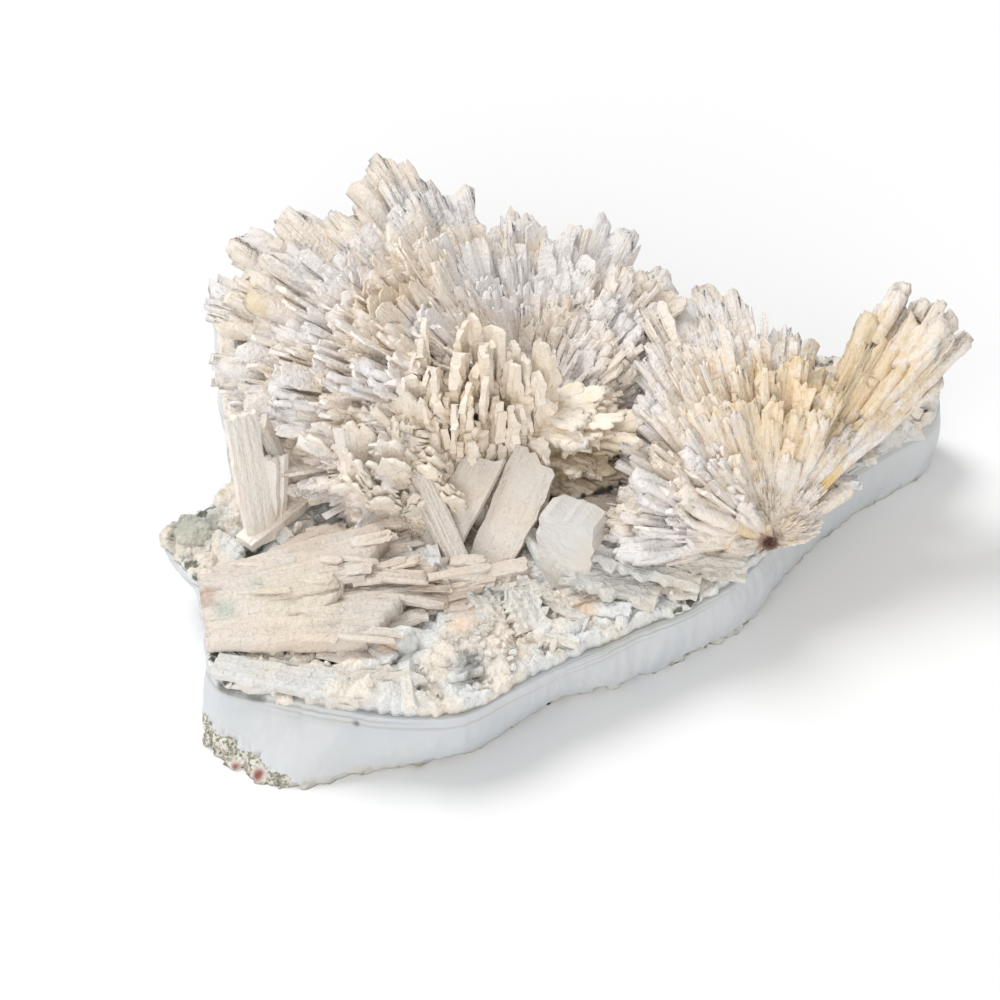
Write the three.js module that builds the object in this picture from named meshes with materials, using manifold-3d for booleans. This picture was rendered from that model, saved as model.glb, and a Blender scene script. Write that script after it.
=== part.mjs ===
// A cabinet specimen of quartz pseudomorphs: radiating sprays of flat quartz blades that took the
// place of an earlier bladed mineral, grown on a thin drusy crust over a broken slab of chalcedony.
// Millimetres, +Z up. The origin is the middle of the specimen's footprint, on the surface it rests on.
// Bearings are degrees in plan, from +X (right) towards +Y (back); elevations are above the horizontal.

import * as THREE from "three";
import { mergeVertices } from "three/addons/utils/BufferGeometryUtils.js";
import Module from "manifold-3d";

// ---------------------------------------------------------------- driving dimensions

const SLAB_TOP = 22; // thickness of the chalcedony slab
const CRUST_TOP = 26; // upper face of the drusy crust, where the sprays are rooted
const GAP = 0.3; // clearance between neighbouring solids
const CRUST_INSET = 2.5; // how far the crust stops short of the slab's rim

// The slab's upper outline, anticlockwise from the front left corner.
const OUTLINE = [
  [-101, -70], [-94, -77], [-82, -80], [-67, -84], [-50, -88], [-34, -88], [-23, -84],
  [-11, -75], [0, -67], [12, -60], [25, -52], [40, -44], [53, -33], [61, -23], [68, -10],
  [77, 3], [88, 14], [100, 25], [109, 32], [117, 38], [121, 48], [119, 57], [104, 65],
  [84, 71], [56, 77], [24, 88], [-14, 100], [-56, 105], [-92, 109], [-108, 107], [-112, 92],
  [-109, 70], [-107, 50], [-103, 30], [-101, 10], [-108, -2], [-119, -12], [-117, -22],
  [-109, -34], [-105, -48], [-102, -60],
];
// Where the slab's broken side leans: bearing from its middle, half width in degrees, and how far
// the foot stands out, in mm.
const LEANS = [
  { bearing: 230, spread: 20, lean: 16 },
  { bearing: 191, spread: 18, lean: -26 },
  { bearing: 150, spread: 40, lean: -7 },
  { bearing: 75, spread: 50, lean: -6 },
  { bearing: 310, spread: 22, lean: 3 },
];
const SIDE_LEVELS = 4; // rows of facets down the slab's side
const SIDE_BOW = 2; // how far the side bulges half way down
const FOOT_CHIP = 2.4; // how deep the chips along the slab's lower edge bite

// A spray: blades radiate from a focus. reach lists the blades' length at low elevation, every
// 360 / reach.length degrees from bearing 0; crown is the length straight up. Its bundles fill the
// bearings and elevations given. core is the share of the reach that has grown into one mass.
const GREAT_ROSETTE = {
  focus: [-16, 32, 27],
  reach: [62, 70, 72, 75, 78, 82, 87, 99, 99, 95, 90, 78, 62, 44, 33, 33, 40, 52],
  crown: 50,
  bearings: [0, 360],
  elevations: [2, 84],
  bundles: 82,
  width: [10, 18],
  thick: [5, 9],
  core: 0.6,
  seed: 11,
};
const YELLOW_SPRAY = {
  focus: [62, -20, 27],
  reach: [30, 62, 70, 72, 78, 94, 92, 72, 56, 58, 60, 14, 8, 8, 8, 8, 8, 12],
  crown: 56,
  bearings: [34, 208],
  elevations: [2, 76],
  bundles: 44,
  width: [9, 16],
  thick: [4, 8],
  core: 0.3,
  seed: 23,
};
const LYING_FAN = {
  focus: [-98, -52, 27],
  reach: [62, 64, 58, 52, 38, 12, 8, 8, 8, 8, 8, 8, 8, 8, 8, 12, 44, 58],
  crown: 18,
  bearings: [-14, 62],
  elevations: [2, 20],
  bundles: 16,
  width: [12, 20],
  thick: [4, 7],
  core: 0.35,
  seed: 37,
};

// Bundles that stand out of the sprays. Those without a root of their own start at the focus.
const ROSETTE_BUNDLES = [
  { bearing: 126, elevation: 40, length: 96, width: 17, thick: 9 },
  { bearing: 120, elevation: 37, length: 91, width: 14, thick: 8 },
  { bearing: 136, elevation: 28, length: 88, width: 16, thick: 8 },
  { bearing: 139, elevation: 7, length: 106, width: 17, thick: 7 },
  { bearing: 150, elevation: 10, length: 101, width: 16, thick: 7 },
  { bearing: 62, elevation: 30, length: 76, width: 15, thick: 8 },
  { bearing: 44, elevation: 24, length: 71, width: 15, thick: 8 },
  { bearing: 270, elevation: 82, length: 47, width: 15, thick: 11, root: [-26, 15, 27] },
  { bearing: 280, elevation: 84, length: 46, width: 14, thick: 12, root: [-14, 14, 27] },
  { bearing: 250, elevation: 72, length: 42, width: 13, thick: 10, root: [-8, 10, 27] },
  { bearing: 350, elevation: 12, length: 38, width: 14, thick: 6, root: [-6, 8, 32] },
  { bearing: 338, elevation: 8, length: 34, width: 12, thick: 5, root: [-4, 2, 30] },
];
const SPRAY_BUNDLES = [
  { bearing: 57, elevation: 31, length: 91, width: 15, thick: 8 },
  { bearing: 49, elevation: 30, length: 91, width: 14, thick: 9 },
  { bearing: 43, elevation: 28, length: 86, width: 12, thick: 8 },
  { bearing: 40, elevation: 7, length: 71, width: 12, thick: 5 },
  { bearing: 97, elevation: 14, length: 98, width: 15, thick: 7 },
  { bearing: 106, elevation: 16, length: 94, width: 15, thick: 7 },
  { bearing: 191, elevation: 3, length: 59, width: 13, thick: 5 },
  { bearing: 175, elevation: 5, length: 58, width: 14, thick: 5 },
];

// Blades that stand by themselves on the crust. root is the middle of the foot.
const LEFT_BLADES = [
  { root: [-90, -18, 24], bearing: 104, elevation: 74, length: 37, width: 13, thick: 5, roll: 8 },
  { root: [-77, -5, 24], bearing: 150, elevation: 56, length: 28, width: 8, thick: 5, roll: 20 },
  { root: [-77, -3, 24], bearing: 55, elevation: 46, length: 28, width: 5, thick: 4 },
  { root: [-78, 1, 26], bearing: 12, elevation: 12, length: 21, width: 5, thick: 4 },
  { root: [-94, -20, 26], bearing: 48, elevation: 4, length: 26, width: 8, thick: 6 },
];
const PILLAR_BLADES = [
  { root: [-57, -14, 24], bearing: 95, elevation: 76, length: 36, width: 9, thick: 6, roll: 5 },
  { root: [-51, -19, 24], bearing: 88, elevation: 70, length: 33, width: 6, thick: 5, roll: -15 },
  { root: [-61, -12, 26], bearing: 322, elevation: 4, length: 14, width: 7, thick: 5 },
];
const CROSSED_BLADES = [
  { root: [-22, -29, 24], bearing: 57, elevation: 42, length: 37, width: 14, thick: 6, roll: 12 },
  { root: [-39, -29, 24], bearing: 53, elevation: 42, length: 37, width: 12, thick: 6, roll: 10 },
  { root: [-27, -36, 24], bearing: 125, elevation: 42, length: 36, width: 6, thick: 5 },
  { root: [-21, -37, 27], bearing: 178, elevation: 6, length: 26, width: 7, thick: 5 },
  { root: [-22, -36, 27], bearing: 6, elevation: 8, length: 13, width: 6, thick: 5 },
  { root: [-40, -29, 27], bearing: 340, elevation: 0, length: 20, width: 6, thick: 5 },
];
const BLOCK_CRYSTAL = [
  { root: [3, -35, 24], bearing: 90, elevation: 78, length: 34, width: 18, thick: 12, roll: -14 },
];

// Ledges of fused blades low on the front left: corner to corner in plan, width and top height.
const LEDGES = [
  { from: [-97, -66], to: [-48, -78], width: 13, top: 31 },
  { from: [-98, -58], to: [-56, -62], width: 9, top: 34 },
];
// Rounded lumps of druse: centre in plan and radius.
const LUMPS = [
  { at: [-44, -75], radius: 8 },
  { at: [-12, -62], radius: 8 },
  { at: [24, -44], radius: 6 },
  { at: [-109, -15], radius: 7 },
];
// Short blades strewn on the crust: along the front, the tip at the left and the back. along is the
// stretch of the outline they follow, as point numbers; inward is how far from the rim they stand.
const STREWN = [
  { count: 22, along: [3, 13], inward: [8, 30], seed: 41 },
  { count: 7, along: [35, 39], inward: [6, 12], seed: 53 },
  { count: 9, along: [21, 30], inward: [8, 22], seed: 67 },
];

const QUARTZ = 0xe3dacb;
const LAVENDER_QUARTZ = 0xdcd5d0;
const YELLOW_QUARTZ = 0xe8d6ac;
const CHALCEDONY = 0xd3d9e2;
const DRUSE = 0xd9d8cd;

// ---------------------------------------------------------------- helpers

const wasm = await Module();
wasm.setup();
const radians = THREE.MathUtils.degToRad;
const degrees = THREE.MathUtils.radToDeg;
const GOLDEN = 0.618034; // share of a turn between one bundle and the next
const UP = [0, 0, 1];

// A repeatable number from 0 to 1 for item k of a seeded series.
function chance(seed, k) {
  const v = Math.sin(seed * 127.1 + k * 311.7) * 43758.5453;
  return v - Math.floor(v);
}

const between = ([low, high], share) => low + (high - low) * share;

function heading(bearing, elevation) {
  const b = radians(bearing);
  const e = radians(elevation);
  return new THREE.Vector3(Math.cos(b) * Math.cos(e), Math.sin(b) * Math.cos(e), Math.sin(e));
}

function solid(geometry) {
  const bare = geometry.clone();
  bare.deleteAttribute("normal");
  bare.deleteAttribute("uv");
  const merged = mergeVertices(bare, 1e-4);
  return new wasm.Manifold(
    new wasm.Mesh({
      numProp: 3,
      vertProperties: new Float32Array(merged.attributes.position.array),
      triVerts: new Uint32Array(merged.index.array),
    }),
  );
}

function geometryOf(manifold) {
  const mesh = manifold.getMesh();
  const geometry = new THREE.BufferGeometry();
  geometry.setAttribute("position", new THREE.BufferAttribute(mesh.vertProperties, 3));
  geometry.setIndex(new THREE.BufferAttribute(mesh.triVerts, 1));
  const flat = geometry.toNonIndexed();
  flat.computeVertexNormals();
  return flat;
}

const join = (solids) => wasm.Manifold.union(solids);

// The biggest of the bodies that a cut leaves.
function largest(manifold) {
  return manifold.decompose().reduce((a, b) => (a.volume() > b.volume() ? a : b));
}

// ---------------------------------------------------------------- blades

// A flat four-sided blade with a blunt, slanted end. foot is its width at the root, as a share of
// the width at the tip; grow widens it on every side, for cutting clearance.
function blade(shape, grow = 0) {
  const { root, bearing, elevation, length, width, thick, roll = 0, slant = 0.35, foot = 0.8 } = shape;
  const geometry = new THREE.CylinderGeometry(Math.SQRT1_2, Math.SQRT1_2 * foot, 1, 4, 1);
  geometry.rotateY(Math.PI / 4);
  geometry.translate(0, 0.5, 0);
  geometry.scale(width + 2 * grow, length + grow, thick + 2 * grow);
  const position = geometry.attributes.position;
  for (let i = 0; i < position.count; i++) {
    const drop = position.getY(i) > length / 2 ? slant * (width / 2 + position.getX(i)) : 0;
    position.setY(i, position.getY(i) - drop);
  }
  const along = heading(bearing, elevation);
  const across = heading(bearing - 90, 0).applyAxisAngle(along, radians(roll));
  const out = new THREE.Vector3().crossVectors(across, along);
  geometry.applyMatrix4(new THREE.Matrix4().makeBasis(across, along, out));
  geometry.translate(...root);
  return solid(geometry);
}

function reachAt(spray, bearing, elevation) {
  const count = spray.reach.length;
  const place = (THREE.MathUtils.euclideanModulo(bearing, 360) / 360) * count;
  const low = Math.floor(place) % count;
  const level = between([spray.reach[low], spray.reach[(low + 1) % count]], place % 1);
  return between([level, spray.crown], THREE.MathUtils.smoothstep(elevation, 30, 85));
}

// The bundles of a spray, spread over its part of the sky by the golden ratio, then nudged.
function bundlesOf(spray) {
  const { seed, bundles, bearings, elevations } = spray;
  const rise = elevations.map((e) => Math.sin(radians(e)));
  return Array.from({ length: bundles }, (_, k) => {
    const nudge = between([-7, 7], chance(seed + 5, k));
    const bearing = between(bearings, (k * GOLDEN) % 1) + nudge;
    const share = ((k + chance(seed + 6, k)) / bundles) ** 1.4;
    const elevation = degrees(Math.asin(between(rise, share)));
    return {
      root: spray.focus,
      bearing,
      elevation,
      length: reachAt(spray, bearing, elevation) * between([0.86, 1], chance(seed, k)),
      width: between(spray.width, chance(seed + 1, k)),
      thick: between(spray.thick, chance(seed + 2, k)),
      roll: between([-35, 35], chance(seed + 3, k)),
      slant: between([-0.5, 0.5], chance(seed + 4, k)),
      foot: 0.35,
    };
  });
}

// The dense heart of a spray, where its blades have grown into one mass.
function core(spray, grow = 0) {
  const geometry = new THREE.IcosahedronGeometry(1, 1);
  const position = geometry.attributes.position;
  const point = new THREE.Vector3();
  for (let i = 0; i < position.count; i++) {
    point.fromBufferAttribute(position, i);
    const bearing = degrees(Math.atan2(point.y, point.x));
    const elevation = degrees(Math.asin(THREE.MathUtils.clamp(point.z, 0, 1)));
    point.multiplyScalar(reachAt(spray, bearing, elevation) * spray.core + grow);
    position.setXYZ(i, point.x, point.y, point.z * 0.9);
  }
  geometry.translate(...spray.focus);
  return solid(geometry);
}

function sprayOf(shape, extra, grow) {
  const standouts = extra.map((b) => ({ root: shape.focus, foot: 0.35, ...b }));
  return join([core(shape, grow), ...[...bundlesOf(shape), ...standouts].map((b) => blade(b, grow))]);
}

const groupOf = (blades) => (grow) => join(blades.map((b) => blade(b, grow)));

// ---------------------------------------------------------------- slab and crust

function outlineShape(inset) {
  const points = OUTLINE.map(([x, y]) => {
    const pull = 1 - inset / Math.hypot(x, y);
    return new THREE.Vector2(x * pull, y * pull);
  });
  return new THREE.Shape(points);
}

// How far the slab's side stands out at its foot, for a bearing from its middle.
function leanAt(bearing) {
  return LEANS.reduce((sum, { bearing: middle, spread, lean }) => {
    const off = THREE.MathUtils.euclideanModulo(bearing - middle + 180, 360) - 180;
    return sum + lean * Math.exp(-((off / spread) ** 2));
  }, 0);
}

function slab() {
  const geometry = new THREE.ExtrudeGeometry(outlineShape(0), {
    depth: SLAB_TOP,
    steps: SIDE_LEVELS,
    bevelEnabled: false,
  });
  const position = geometry.attributes.position;
  for (let i = 0; i < position.count; i++) {
    const [x, y] = [position.getX(i), position.getY(i)];
    const depth = 1 - position.getZ(i) / SLAB_TOP;
    const lean = leanAt(degrees(Math.atan2(y, x))) * depth ** 1.5;
    const chip = depth === 1 ? FOOT_CHIP * chance(5, Math.round(x * 3 + y * 7)) : 0;
    const push = (lean + SIDE_BOW * Math.sin(Math.PI * depth) - chip) / Math.hypot(x, y);
    position.setXY(i, x * (1 + push), y * (1 + push));
  }
  return solid(geometry);
}

function lump({ at: [x, y], radius }) {
  const geometry = new THREE.DodecahedronGeometry(radius);
  geometry.rotateX(x);
  geometry.scale(1, 1, 0.7);
  geometry.translate(x, y, CRUST_TOP);
  return solid(geometry);
}

function ledge({ from, to, width, top }) {
  const length = Math.hypot(to[0] - from[0], to[1] - from[1]);
  const height = top - SLAB_TOP;
  const geometry = new THREE.BoxGeometry(length, width, height);
  geometry.rotateZ(Math.atan2(to[1] - from[1], to[0] - from[0]));
  geometry.translate((from[0] + to[0]) / 2, (from[1] + to[1]) / 2, top - height / 2);
  return solid(geometry);
}

// Short blades strewn on the crust, each leaning its own way.
function strewnBlades({ count, along, inward, seed }) {
  return Array.from({ length: count }, (_, k) => {
    const [x, y] = OUTLINE[Math.floor(between(along, (k + 0.5) / count))];
    const pull = 1 - between(inward, chance(seed, k)) / Math.hypot(x, y);
    return blade({
      root: [x * pull, y * pull, SLAB_TOP + 2],
      bearing: 360 * chance(seed + 1, k),
      elevation: between([10, 70], chance(seed + 2, k)),
      length: between([8, 14], chance(seed + 3, k)),
      width: between([4, 8], chance(seed + 4, k)),
      thick: between([2, 5], chance(seed + 5, k)),
    });
  });
}

const raisedDruse = () => join([...LUMPS.map(lump), ...LEDGES.map(ledge), ...STREWN.flatMap(strewnBlades)]);

function crustSheet() {
  const sheet = new THREE.ExtrudeGeometry(outlineShape(CRUST_INSET), {
    depth: CRUST_TOP - SLAB_TOP - GAP,
    steps: 1,
    bevelEnabled: false,
  });
  sheet.translate(0, 0, SLAB_TOP + GAP);
  return solid(sheet);
}

// ---------------------------------------------------------------- the specimen

// The two great sprays grow into each other, and meet on the plane half way between their foci.
const rosetteFocus = new THREE.Vector3(...GREAT_ROSETTE.focus);
const yellowFocus = new THREE.Vector3(...YELLOW_SPRAY.focus);
const acrossSprays = yellowFocus.clone().sub(rosetteFocus).normalize();
const meetingAt = acrossSprays.dot(rosetteFocus.add(yellowFocus).multiplyScalar(0.5));

const lyingFan = (grow) => sprayOf(LYING_FAN, [], grow);

function yellowSpray(grow) {
  const whole = sprayOf(YELLOW_SPRAY, SPRAY_BUNDLES, grow);
  return whole.trimByPlane(acrossSprays.toArray(), meetingAt + GAP / 2 - grow);
}

function greatRosette(grow) {
  const whole = sprayOf(GREAT_ROSETTE, ROSETTE_BUNDLES, grow);
  return whole.trimByPlane(acrossSprays.clone().negate().toArray(), GAP / 2 - meetingAt - grow);
}

// Each piece gives way to those before it in this list, and is ground off flat at its seat. make(grow)
// builds it, swollen by grow.
const SEAT = CRUST_TOP + GAP;
const PIECES = [
  { name: "crossed_blades", color: QUARTZ, seat: SEAT, make: groupOf(CROSSED_BLADES) },
  { name: "block_crystal", color: LAVENDER_QUARTZ, seat: SEAT, make: groupOf(BLOCK_CRYSTAL) },
  { name: "left_blades", color: QUARTZ, seat: SEAT, make: groupOf(LEFT_BLADES) },
  { name: "pillar_blades", color: QUARTZ, seat: SEAT, make: groupOf(PILLAR_BLADES) },
  { name: "lying_fan", color: QUARTZ, seat: SEAT, make: lyingFan },
  { name: "yellow_spray", color: YELLOW_QUARTZ, seat: SEAT, make: yellowSpray },
  { name: "great_rosette", color: LAVENDER_QUARTZ, seat: SEAT, make: greatRosette },
  { name: "drusy_crust", color: DRUSE, seat: SLAB_TOP + GAP, make: raisedDruse, bed: crustSheet },
];

const specimen = new THREE.Group();

function add(name, manifold, color) {
  const material = new THREE.MeshStandardMaterial({ color, roughness: 0.65, flatShading: true });
  const mesh = new THREE.Mesh(geometryOf(largest(manifold)), material);
  mesh.name = name;
  specimen.add(mesh);
}

add("chalcedony_slab", slab(), CHALCEDONY);
PIECES.forEach(({ name, color, seat, make, bed }, i) => {
  const earlier = PIECES.slice(0, i).map((other) => other.make(GAP).trimByPlane(UP, CRUST_TOP));
  const whole = make(0).trimByPlane(UP, seat);
  const piece = i > 0 ? whole.subtract(join(earlier)) : whole;
  add(name, bed ? piece.add(bed()) : piece, color);
});

// Stand the specimen on the origin, at the middle of its footprint.
const box = new THREE.Box3().setFromObject(specimen);
const centre = box.getCenter(new THREE.Vector3());
specimen.position.set(-centre.x, -centre.y, -box.min.z);

export default specimen;
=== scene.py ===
"""A quartz pseudomorph specimen: sprays of flat quartz blades on a drusy crust over a chalcedony slab.

Laid out as a Blender add-on and run as a script. Shapes are worked out in millimetres in the drawing's
own coordinates, +X right, +Y back, +Z up, and moved into the frame as they are put into their meshes.
Bearings are degrees in plan from +X towards +Y; elevations are degrees above the horizontal.
"""

import math

import bpy
import numpy as np
from bpy.props import FloatProperty, FloatVectorProperty, IntProperty, PointerProperty
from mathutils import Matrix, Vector


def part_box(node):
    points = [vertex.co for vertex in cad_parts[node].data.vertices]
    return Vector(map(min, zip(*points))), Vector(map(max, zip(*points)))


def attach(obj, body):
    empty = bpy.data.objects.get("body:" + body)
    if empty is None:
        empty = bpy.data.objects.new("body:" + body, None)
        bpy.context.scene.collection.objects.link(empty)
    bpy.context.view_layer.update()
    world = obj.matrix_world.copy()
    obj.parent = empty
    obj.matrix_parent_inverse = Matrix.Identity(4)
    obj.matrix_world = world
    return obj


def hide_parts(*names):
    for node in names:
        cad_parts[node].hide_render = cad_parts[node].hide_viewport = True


bl_info = {
    "name": "Quartz pseudomorph specimen",
    "version": (1, 0, 0),
    "blender": (4, 5, 0),
    "location": "3D View > Sidebar > Specimen",
    "description": "Builds radiating sprays of quartz blades on a slab of chalcedony",
    "category": "Add Mesh",
}

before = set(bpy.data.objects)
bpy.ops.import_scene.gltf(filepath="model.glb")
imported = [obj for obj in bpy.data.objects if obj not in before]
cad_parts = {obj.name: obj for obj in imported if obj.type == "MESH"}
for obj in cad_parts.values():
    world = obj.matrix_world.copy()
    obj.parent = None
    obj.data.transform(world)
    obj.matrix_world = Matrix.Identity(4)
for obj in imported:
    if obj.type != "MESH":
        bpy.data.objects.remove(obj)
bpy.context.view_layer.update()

# ------------------------------------------------------------------ driving dimensions, in millimetres

MM = 0.001
SLAB_TOP = 22.0  # thickness of the slab
CRUST_TOP = 26.0  # mean height of the crust, where the sprays are rooted
GAP = 0.3  # clearance between neighbouring solids
SEAT = CRUST_TOP + GAP
CRUST_INSET = 0.9  # how far the crust stops short of the slab's rim

# The slab's farthest left and farthest back, in the drawing, which place the drawing in the frame.
SLAB_REACH = (-119.0, 109.4)
SLAB_LOW, SLAB_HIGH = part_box("chalcedony_slab")
SHIFT = np.array([SLAB_LOW.x - SLAB_REACH[0] * MM, SLAB_HIGH.y - SLAB_REACH[1] * MM, 0.0])

# The slab's upper outline, anticlockwise from the front left corner.
OUTLINE = np.array([
    (-101, -70), (-94, -77), (-82, -80), (-67, -84), (-50, -88), (-34, -88), (-23, -84),
    (-11, -75), (0, -67), (12, -60), (25, -52), (40, -44), (53, -33), (61, -23), (68, -10),
    (77, 3), (88, 14), (100, 25), (109, 32), (117, 38), (121, 48), (119, 57), (104, 65),
    (84, 71), (56, 77), (24, 88), (-14, 100), (-56, 105), (-92, 109), (-108, 107), (-112, 92),
    (-109, 70), (-107, 50), (-103, 30), (-101, 10), (-108, -2), (-119, -12), (-117, -22),
    (-109, -34), (-105, -48), (-102, -60),
], float)
# Where the slab's broken side leans: bearing, spread in degrees, how far its foot stands out.
LEANS = (
    (229, 7.5, 17), (217, 8, 8), (262, 22, -8), (191, 18, -26), (150, 40, -7), (75, 50, -6),
    (310, 22, -2),
)
SIDE_BOW = 2.0  # how far the side bulges half way down
SHELL_SIZE, CHIP_SIZE = 24.0, 3.4  # across the shells broken out of the side and the chips at its foot
# Waves of the side: share of Z that counts, so that less draws them out upright, size, height and seed.
SIDE_WAVES = ((1.4, 9.0, 0.3, 4), (0.2, 2.6, 0.3, 8), (0.4, 1.2, 0.12, 9))
# The crust's broken crystals, in three sizes: size across, height, slope of their tops and seed.
CRUST_CRYSTALS = ((15.0, 2.2, 2.8, 21), (6.0, 0.9, 1.2, 22), (2.2, 0.3, 0.4, 24))
# A painted shadow along the crack under the crust at the front left: where it starts, its steps along, and
# how many.
CRACK_SHADOW_START, CRACK_SHADOW_STEP, CRACK_SHADOW_STEPS = (-98, -75.4, 21.7), (1.4, -0.46, -0.06), 10
# Where grains of dark rock cling to the slab's foot: centre and radius.
MATRIX = (((-102, -78, 3), 6), ((-97, -84, 2), 6.5), ((-90, -89, 1), 6), ((-82, -94, 0), 4.5))

# A spray: blades radiate from a focus. reach is their length at low elevation, in even steps of
# bearing from 0. OPENING is the share of that length at each elevation, which opens the spray.
OPENING = ((0, 20, 35, 50, 60, 70, 80, 90), (1, 0.97, 0.92, 0.8, 0.66, 0.48, 0.32, 0.24))
GREAT_ROSETTE = {
    "focus": (-10, 28, 27),
    "reach": (62, 72, 76, 80, 84, 88, 96, 106, 108, 104, 98, 84, 56, 24, 16, 18, 34, 50),
    "bearings": (0, 360),
    "elevations": (3, 70),
}
YELLOW_SPRAY = {
    "focus": (62, -20, 27),
    "reach": (24, 30, 50, 76, 84, 100, 98, 76, 60, 62, 64, 16, 8, 8, 8, 8, 8, 12),
    "bearings": (50, 208),
    "elevations": (3, 66),
}

# Bundles that stand out of the sprays: bearing, elevation, length, width, thickness.
ROSETTE_BUNDLES = (
    (128, 39, 98, 13, 8), (132, 38, 96, 12, 8), (124, 38, 96, 13, 8), (130, 36, 96, 14, 8),
    (120, 36, 91, 14, 8), (113, 35, 84, 15, 7), (139, 32, 92, 15, 8), (144, 27, 96, 15, 7),
    (139, 10, 112, 17, 7), (150, 8, 116, 16, 7), (152, 20, 112, 17, 7), (160, 12, 110, 16, 7),
    (168, 8, 102, 16, 7), (176, 15, 98, 15, 7), (184, 9, 95, 15, 7), (164, 26, 102, 16, 7),
    (191, 16, 94, 15, 7), (197, 7, 92, 14, 7), (146, 27, 103, 16, 7), (62, 30, 76, 15, 8),
    (44, 24, 71, 15, 8),
)
YELLOW_BUNDLES = (
    (57, 30, 82, 11, 9), (50, 29, 84, 12, 9), (43, 27, 80, 11, 8), (97, 14, 98, 15, 7),
    (106, 16, 94, 15, 7), (191, 3, 59, 13, 5), (175, 5, 58, 14, 5),
)
# The cluster of fingers at the spray's upper right lies between these two, in the same five numbers.
FINGER_SPREAD = ((38, 22, 68, 4, 3), (60, 36, 90, 7.5, 5))
# The column in front of the rosette's middle: rows of thin upright fins. Y of a row, and its fins' length.
COLUMN_ROWS = ((17, 53), (13, 51), (9, 47), (4, 39), (-1, 30), (-6, 19), (-10, 11))
COLUMN_SPAN = (-45, -7)  # from its left to its right
COLUMN_SPACING = 2.1  # between the fins of a row
# Broad cream tongues to the left of the column.
TONGUES = (
    ((-52, 2, 27), 240, 74, 42, 13, 9), ((-43, 4, 27), 255, 78, 46, 13, 9),
    ((-55, -7, 27), 235, 68, 34, 12, 8), ((-46, -6, 27), 250, 74, 36, 12, 8),
    ((-38, -8, 27), 262, 76, 32, 11, 7), ((-50, -13, 27), 245, 70, 24, 10, 6),
    ((-41, -15, 27), 262, 70, 22, 10, 6), ((-62, 6, 27), 222, 58, 36, 12, 8),
    ((-33, -13, 27), 265, 70, 24, 9, 6),
)
# The knobbly mass behind the tongues and the column: centre and half sizes.
MASS = (
    ((-47, -6, 42), (9, 9, 20)), ((-38, -8, 37), (8, 8, 16)), ((-55, -5, 37), (8, 8, 15)),
    ((-44, -16, 32), (9, 6, 11)), ((-33, -12, 30), (8, 6, 9)), ((-50, 4, 50), (9, 8, 18)),
    ((-26, 10, 36), (18, 12, 26)), ((0, 6, 34), (12, 8, 12)),
)
# Blades that stand by themselves: root, bearing, elevation, length, width, thickness, roll.
LEFT_BLADES = (
    ((-89, -19, 24), 112, 66, 42, 10, 6, 10), ((-78, -5, 25), 158, 67, 33, 7, 5, 10),
    ((-76, -1, 28), 30, 66, 28, 4, 4, 0), ((-74, -3, 38), 8, 8, 18, 9, 3, 0),
    ((-76, -7, 33), 20, 2, 16, 8, 3, 0), ((-86, -14, 24), 80, 74, 26, 6, 5, -20),
    ((-94, -22, 26), 48, 4, 26, 8, 6, 0),
)
PILLAR_BLADES = (
    ((-57, -14, 24), 119, 72, 37, 10, 7, 5), ((-52, -16, 24), 80, 72, 32, 6, 5, -15),
    ((-60, -17, 25), 100, 60, 18, 7, 5, 10), ((-61, -12, 26), 322, 4, 14, 7, 5, 0),
)
CROSSED_BLADES = (
    ((-22, -29, 24), 57, 42, 37, 14, 6, 12), ((-39, -29, 24), 53, 42, 37, 12, 6, 10),
    ((-27, -36, 24), 125, 42, 36, 6, 5, 0), ((-21, -37, 27), 178, 6, 26, 7, 5, 0),
    ((-22, -36, 27), 6, 8, 13, 6, 5, 0), ((-40, -29, 27), 340, 0, 20, 6, 5, 0),
)
BLOCK_CRYSTAL = (((4, -34, 24), 84, 76, 25, 18, 13, -16),)

# Books of thin plates that lie nearly flat: root, bearing, elevation, length, width, thickness.
FAN_BOOKS = (
    ((-102, -60, 28), -3, 3, 54, 20, 6), ((-104, -52, 31), 6, 4, 44, 27, 7),
    ((-100, -46, 30), 16, 6, 50, 24, 6), ((-97, -42, 28), 30, 5, 42, 18, 5),
    ((-72, -40, 33), 8, -2, 38, 12, 4), ((-64, -48, 31), 10, -2, 28, 9, 4),
    ((-66, -36, 30), 24, 2, 26, 10, 4), ((-95, -48, 34), 14, 7, 30, 14, 3),
    ((-62, -41, 34), -6, 4, 24, 6, 3), ((-54, -44, 29), -18, 3, 22, 6, 3),
)
# The shelves right of the column: their roots, from and to, and their bearings.
SHELF_SPREAD = ((-9, 2, 31), (0, 12, 54), (312, 380))
LEDGES = (
    ((-99, -70, 24), -13, 1, 48, 13, 5), ((-72, -76, 24), -12, 2, 34, 11, 5),
    ((80, 20, 24), 32, 2, 38, 18, 5), ((88, 40, 24), 8, 2, 30, 14, 5),
)
FRONT_BOOKS = (
    ((-9, -58, 26), 118, 24, 17, 13, 6), ((-17, -57, 26), 128, 16, 16, 9, 5),
    ((8, -52, 25), 150, 8, 26, 7, 4), ((28, -41, 26), 168, 12, 34, 17, 7),
    ((40, -37, 26), 172, 14, 38, 16, 7), ((-34, -62, 26), 20, 6, 16, 6, 4),
    ((20, -30, 26), 176, 20, 26, 12, 5), ((-46, -42, 26), 350, 2, 24, 6, 4),
    ((54, -30, 26), 176, 12, 34, 15, 7),
)
# Rounded crystals on the crust: centre and half sizes.
LUMPS = (
    ((-46, -64, 26), (6, 4, 8)), ((-28, -57, 25), (10, 8, 6)), ((-2, -58, 24), (9, 7, 6)),
    ((-36, -69, 24), (10, 6, 5)), ((-109, -15, 24), (8, 7, 6)), ((22, -45, 24), (9, 6, 5)),
    ((-58, -72, 24), (9, 5, 5)),
)

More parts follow.
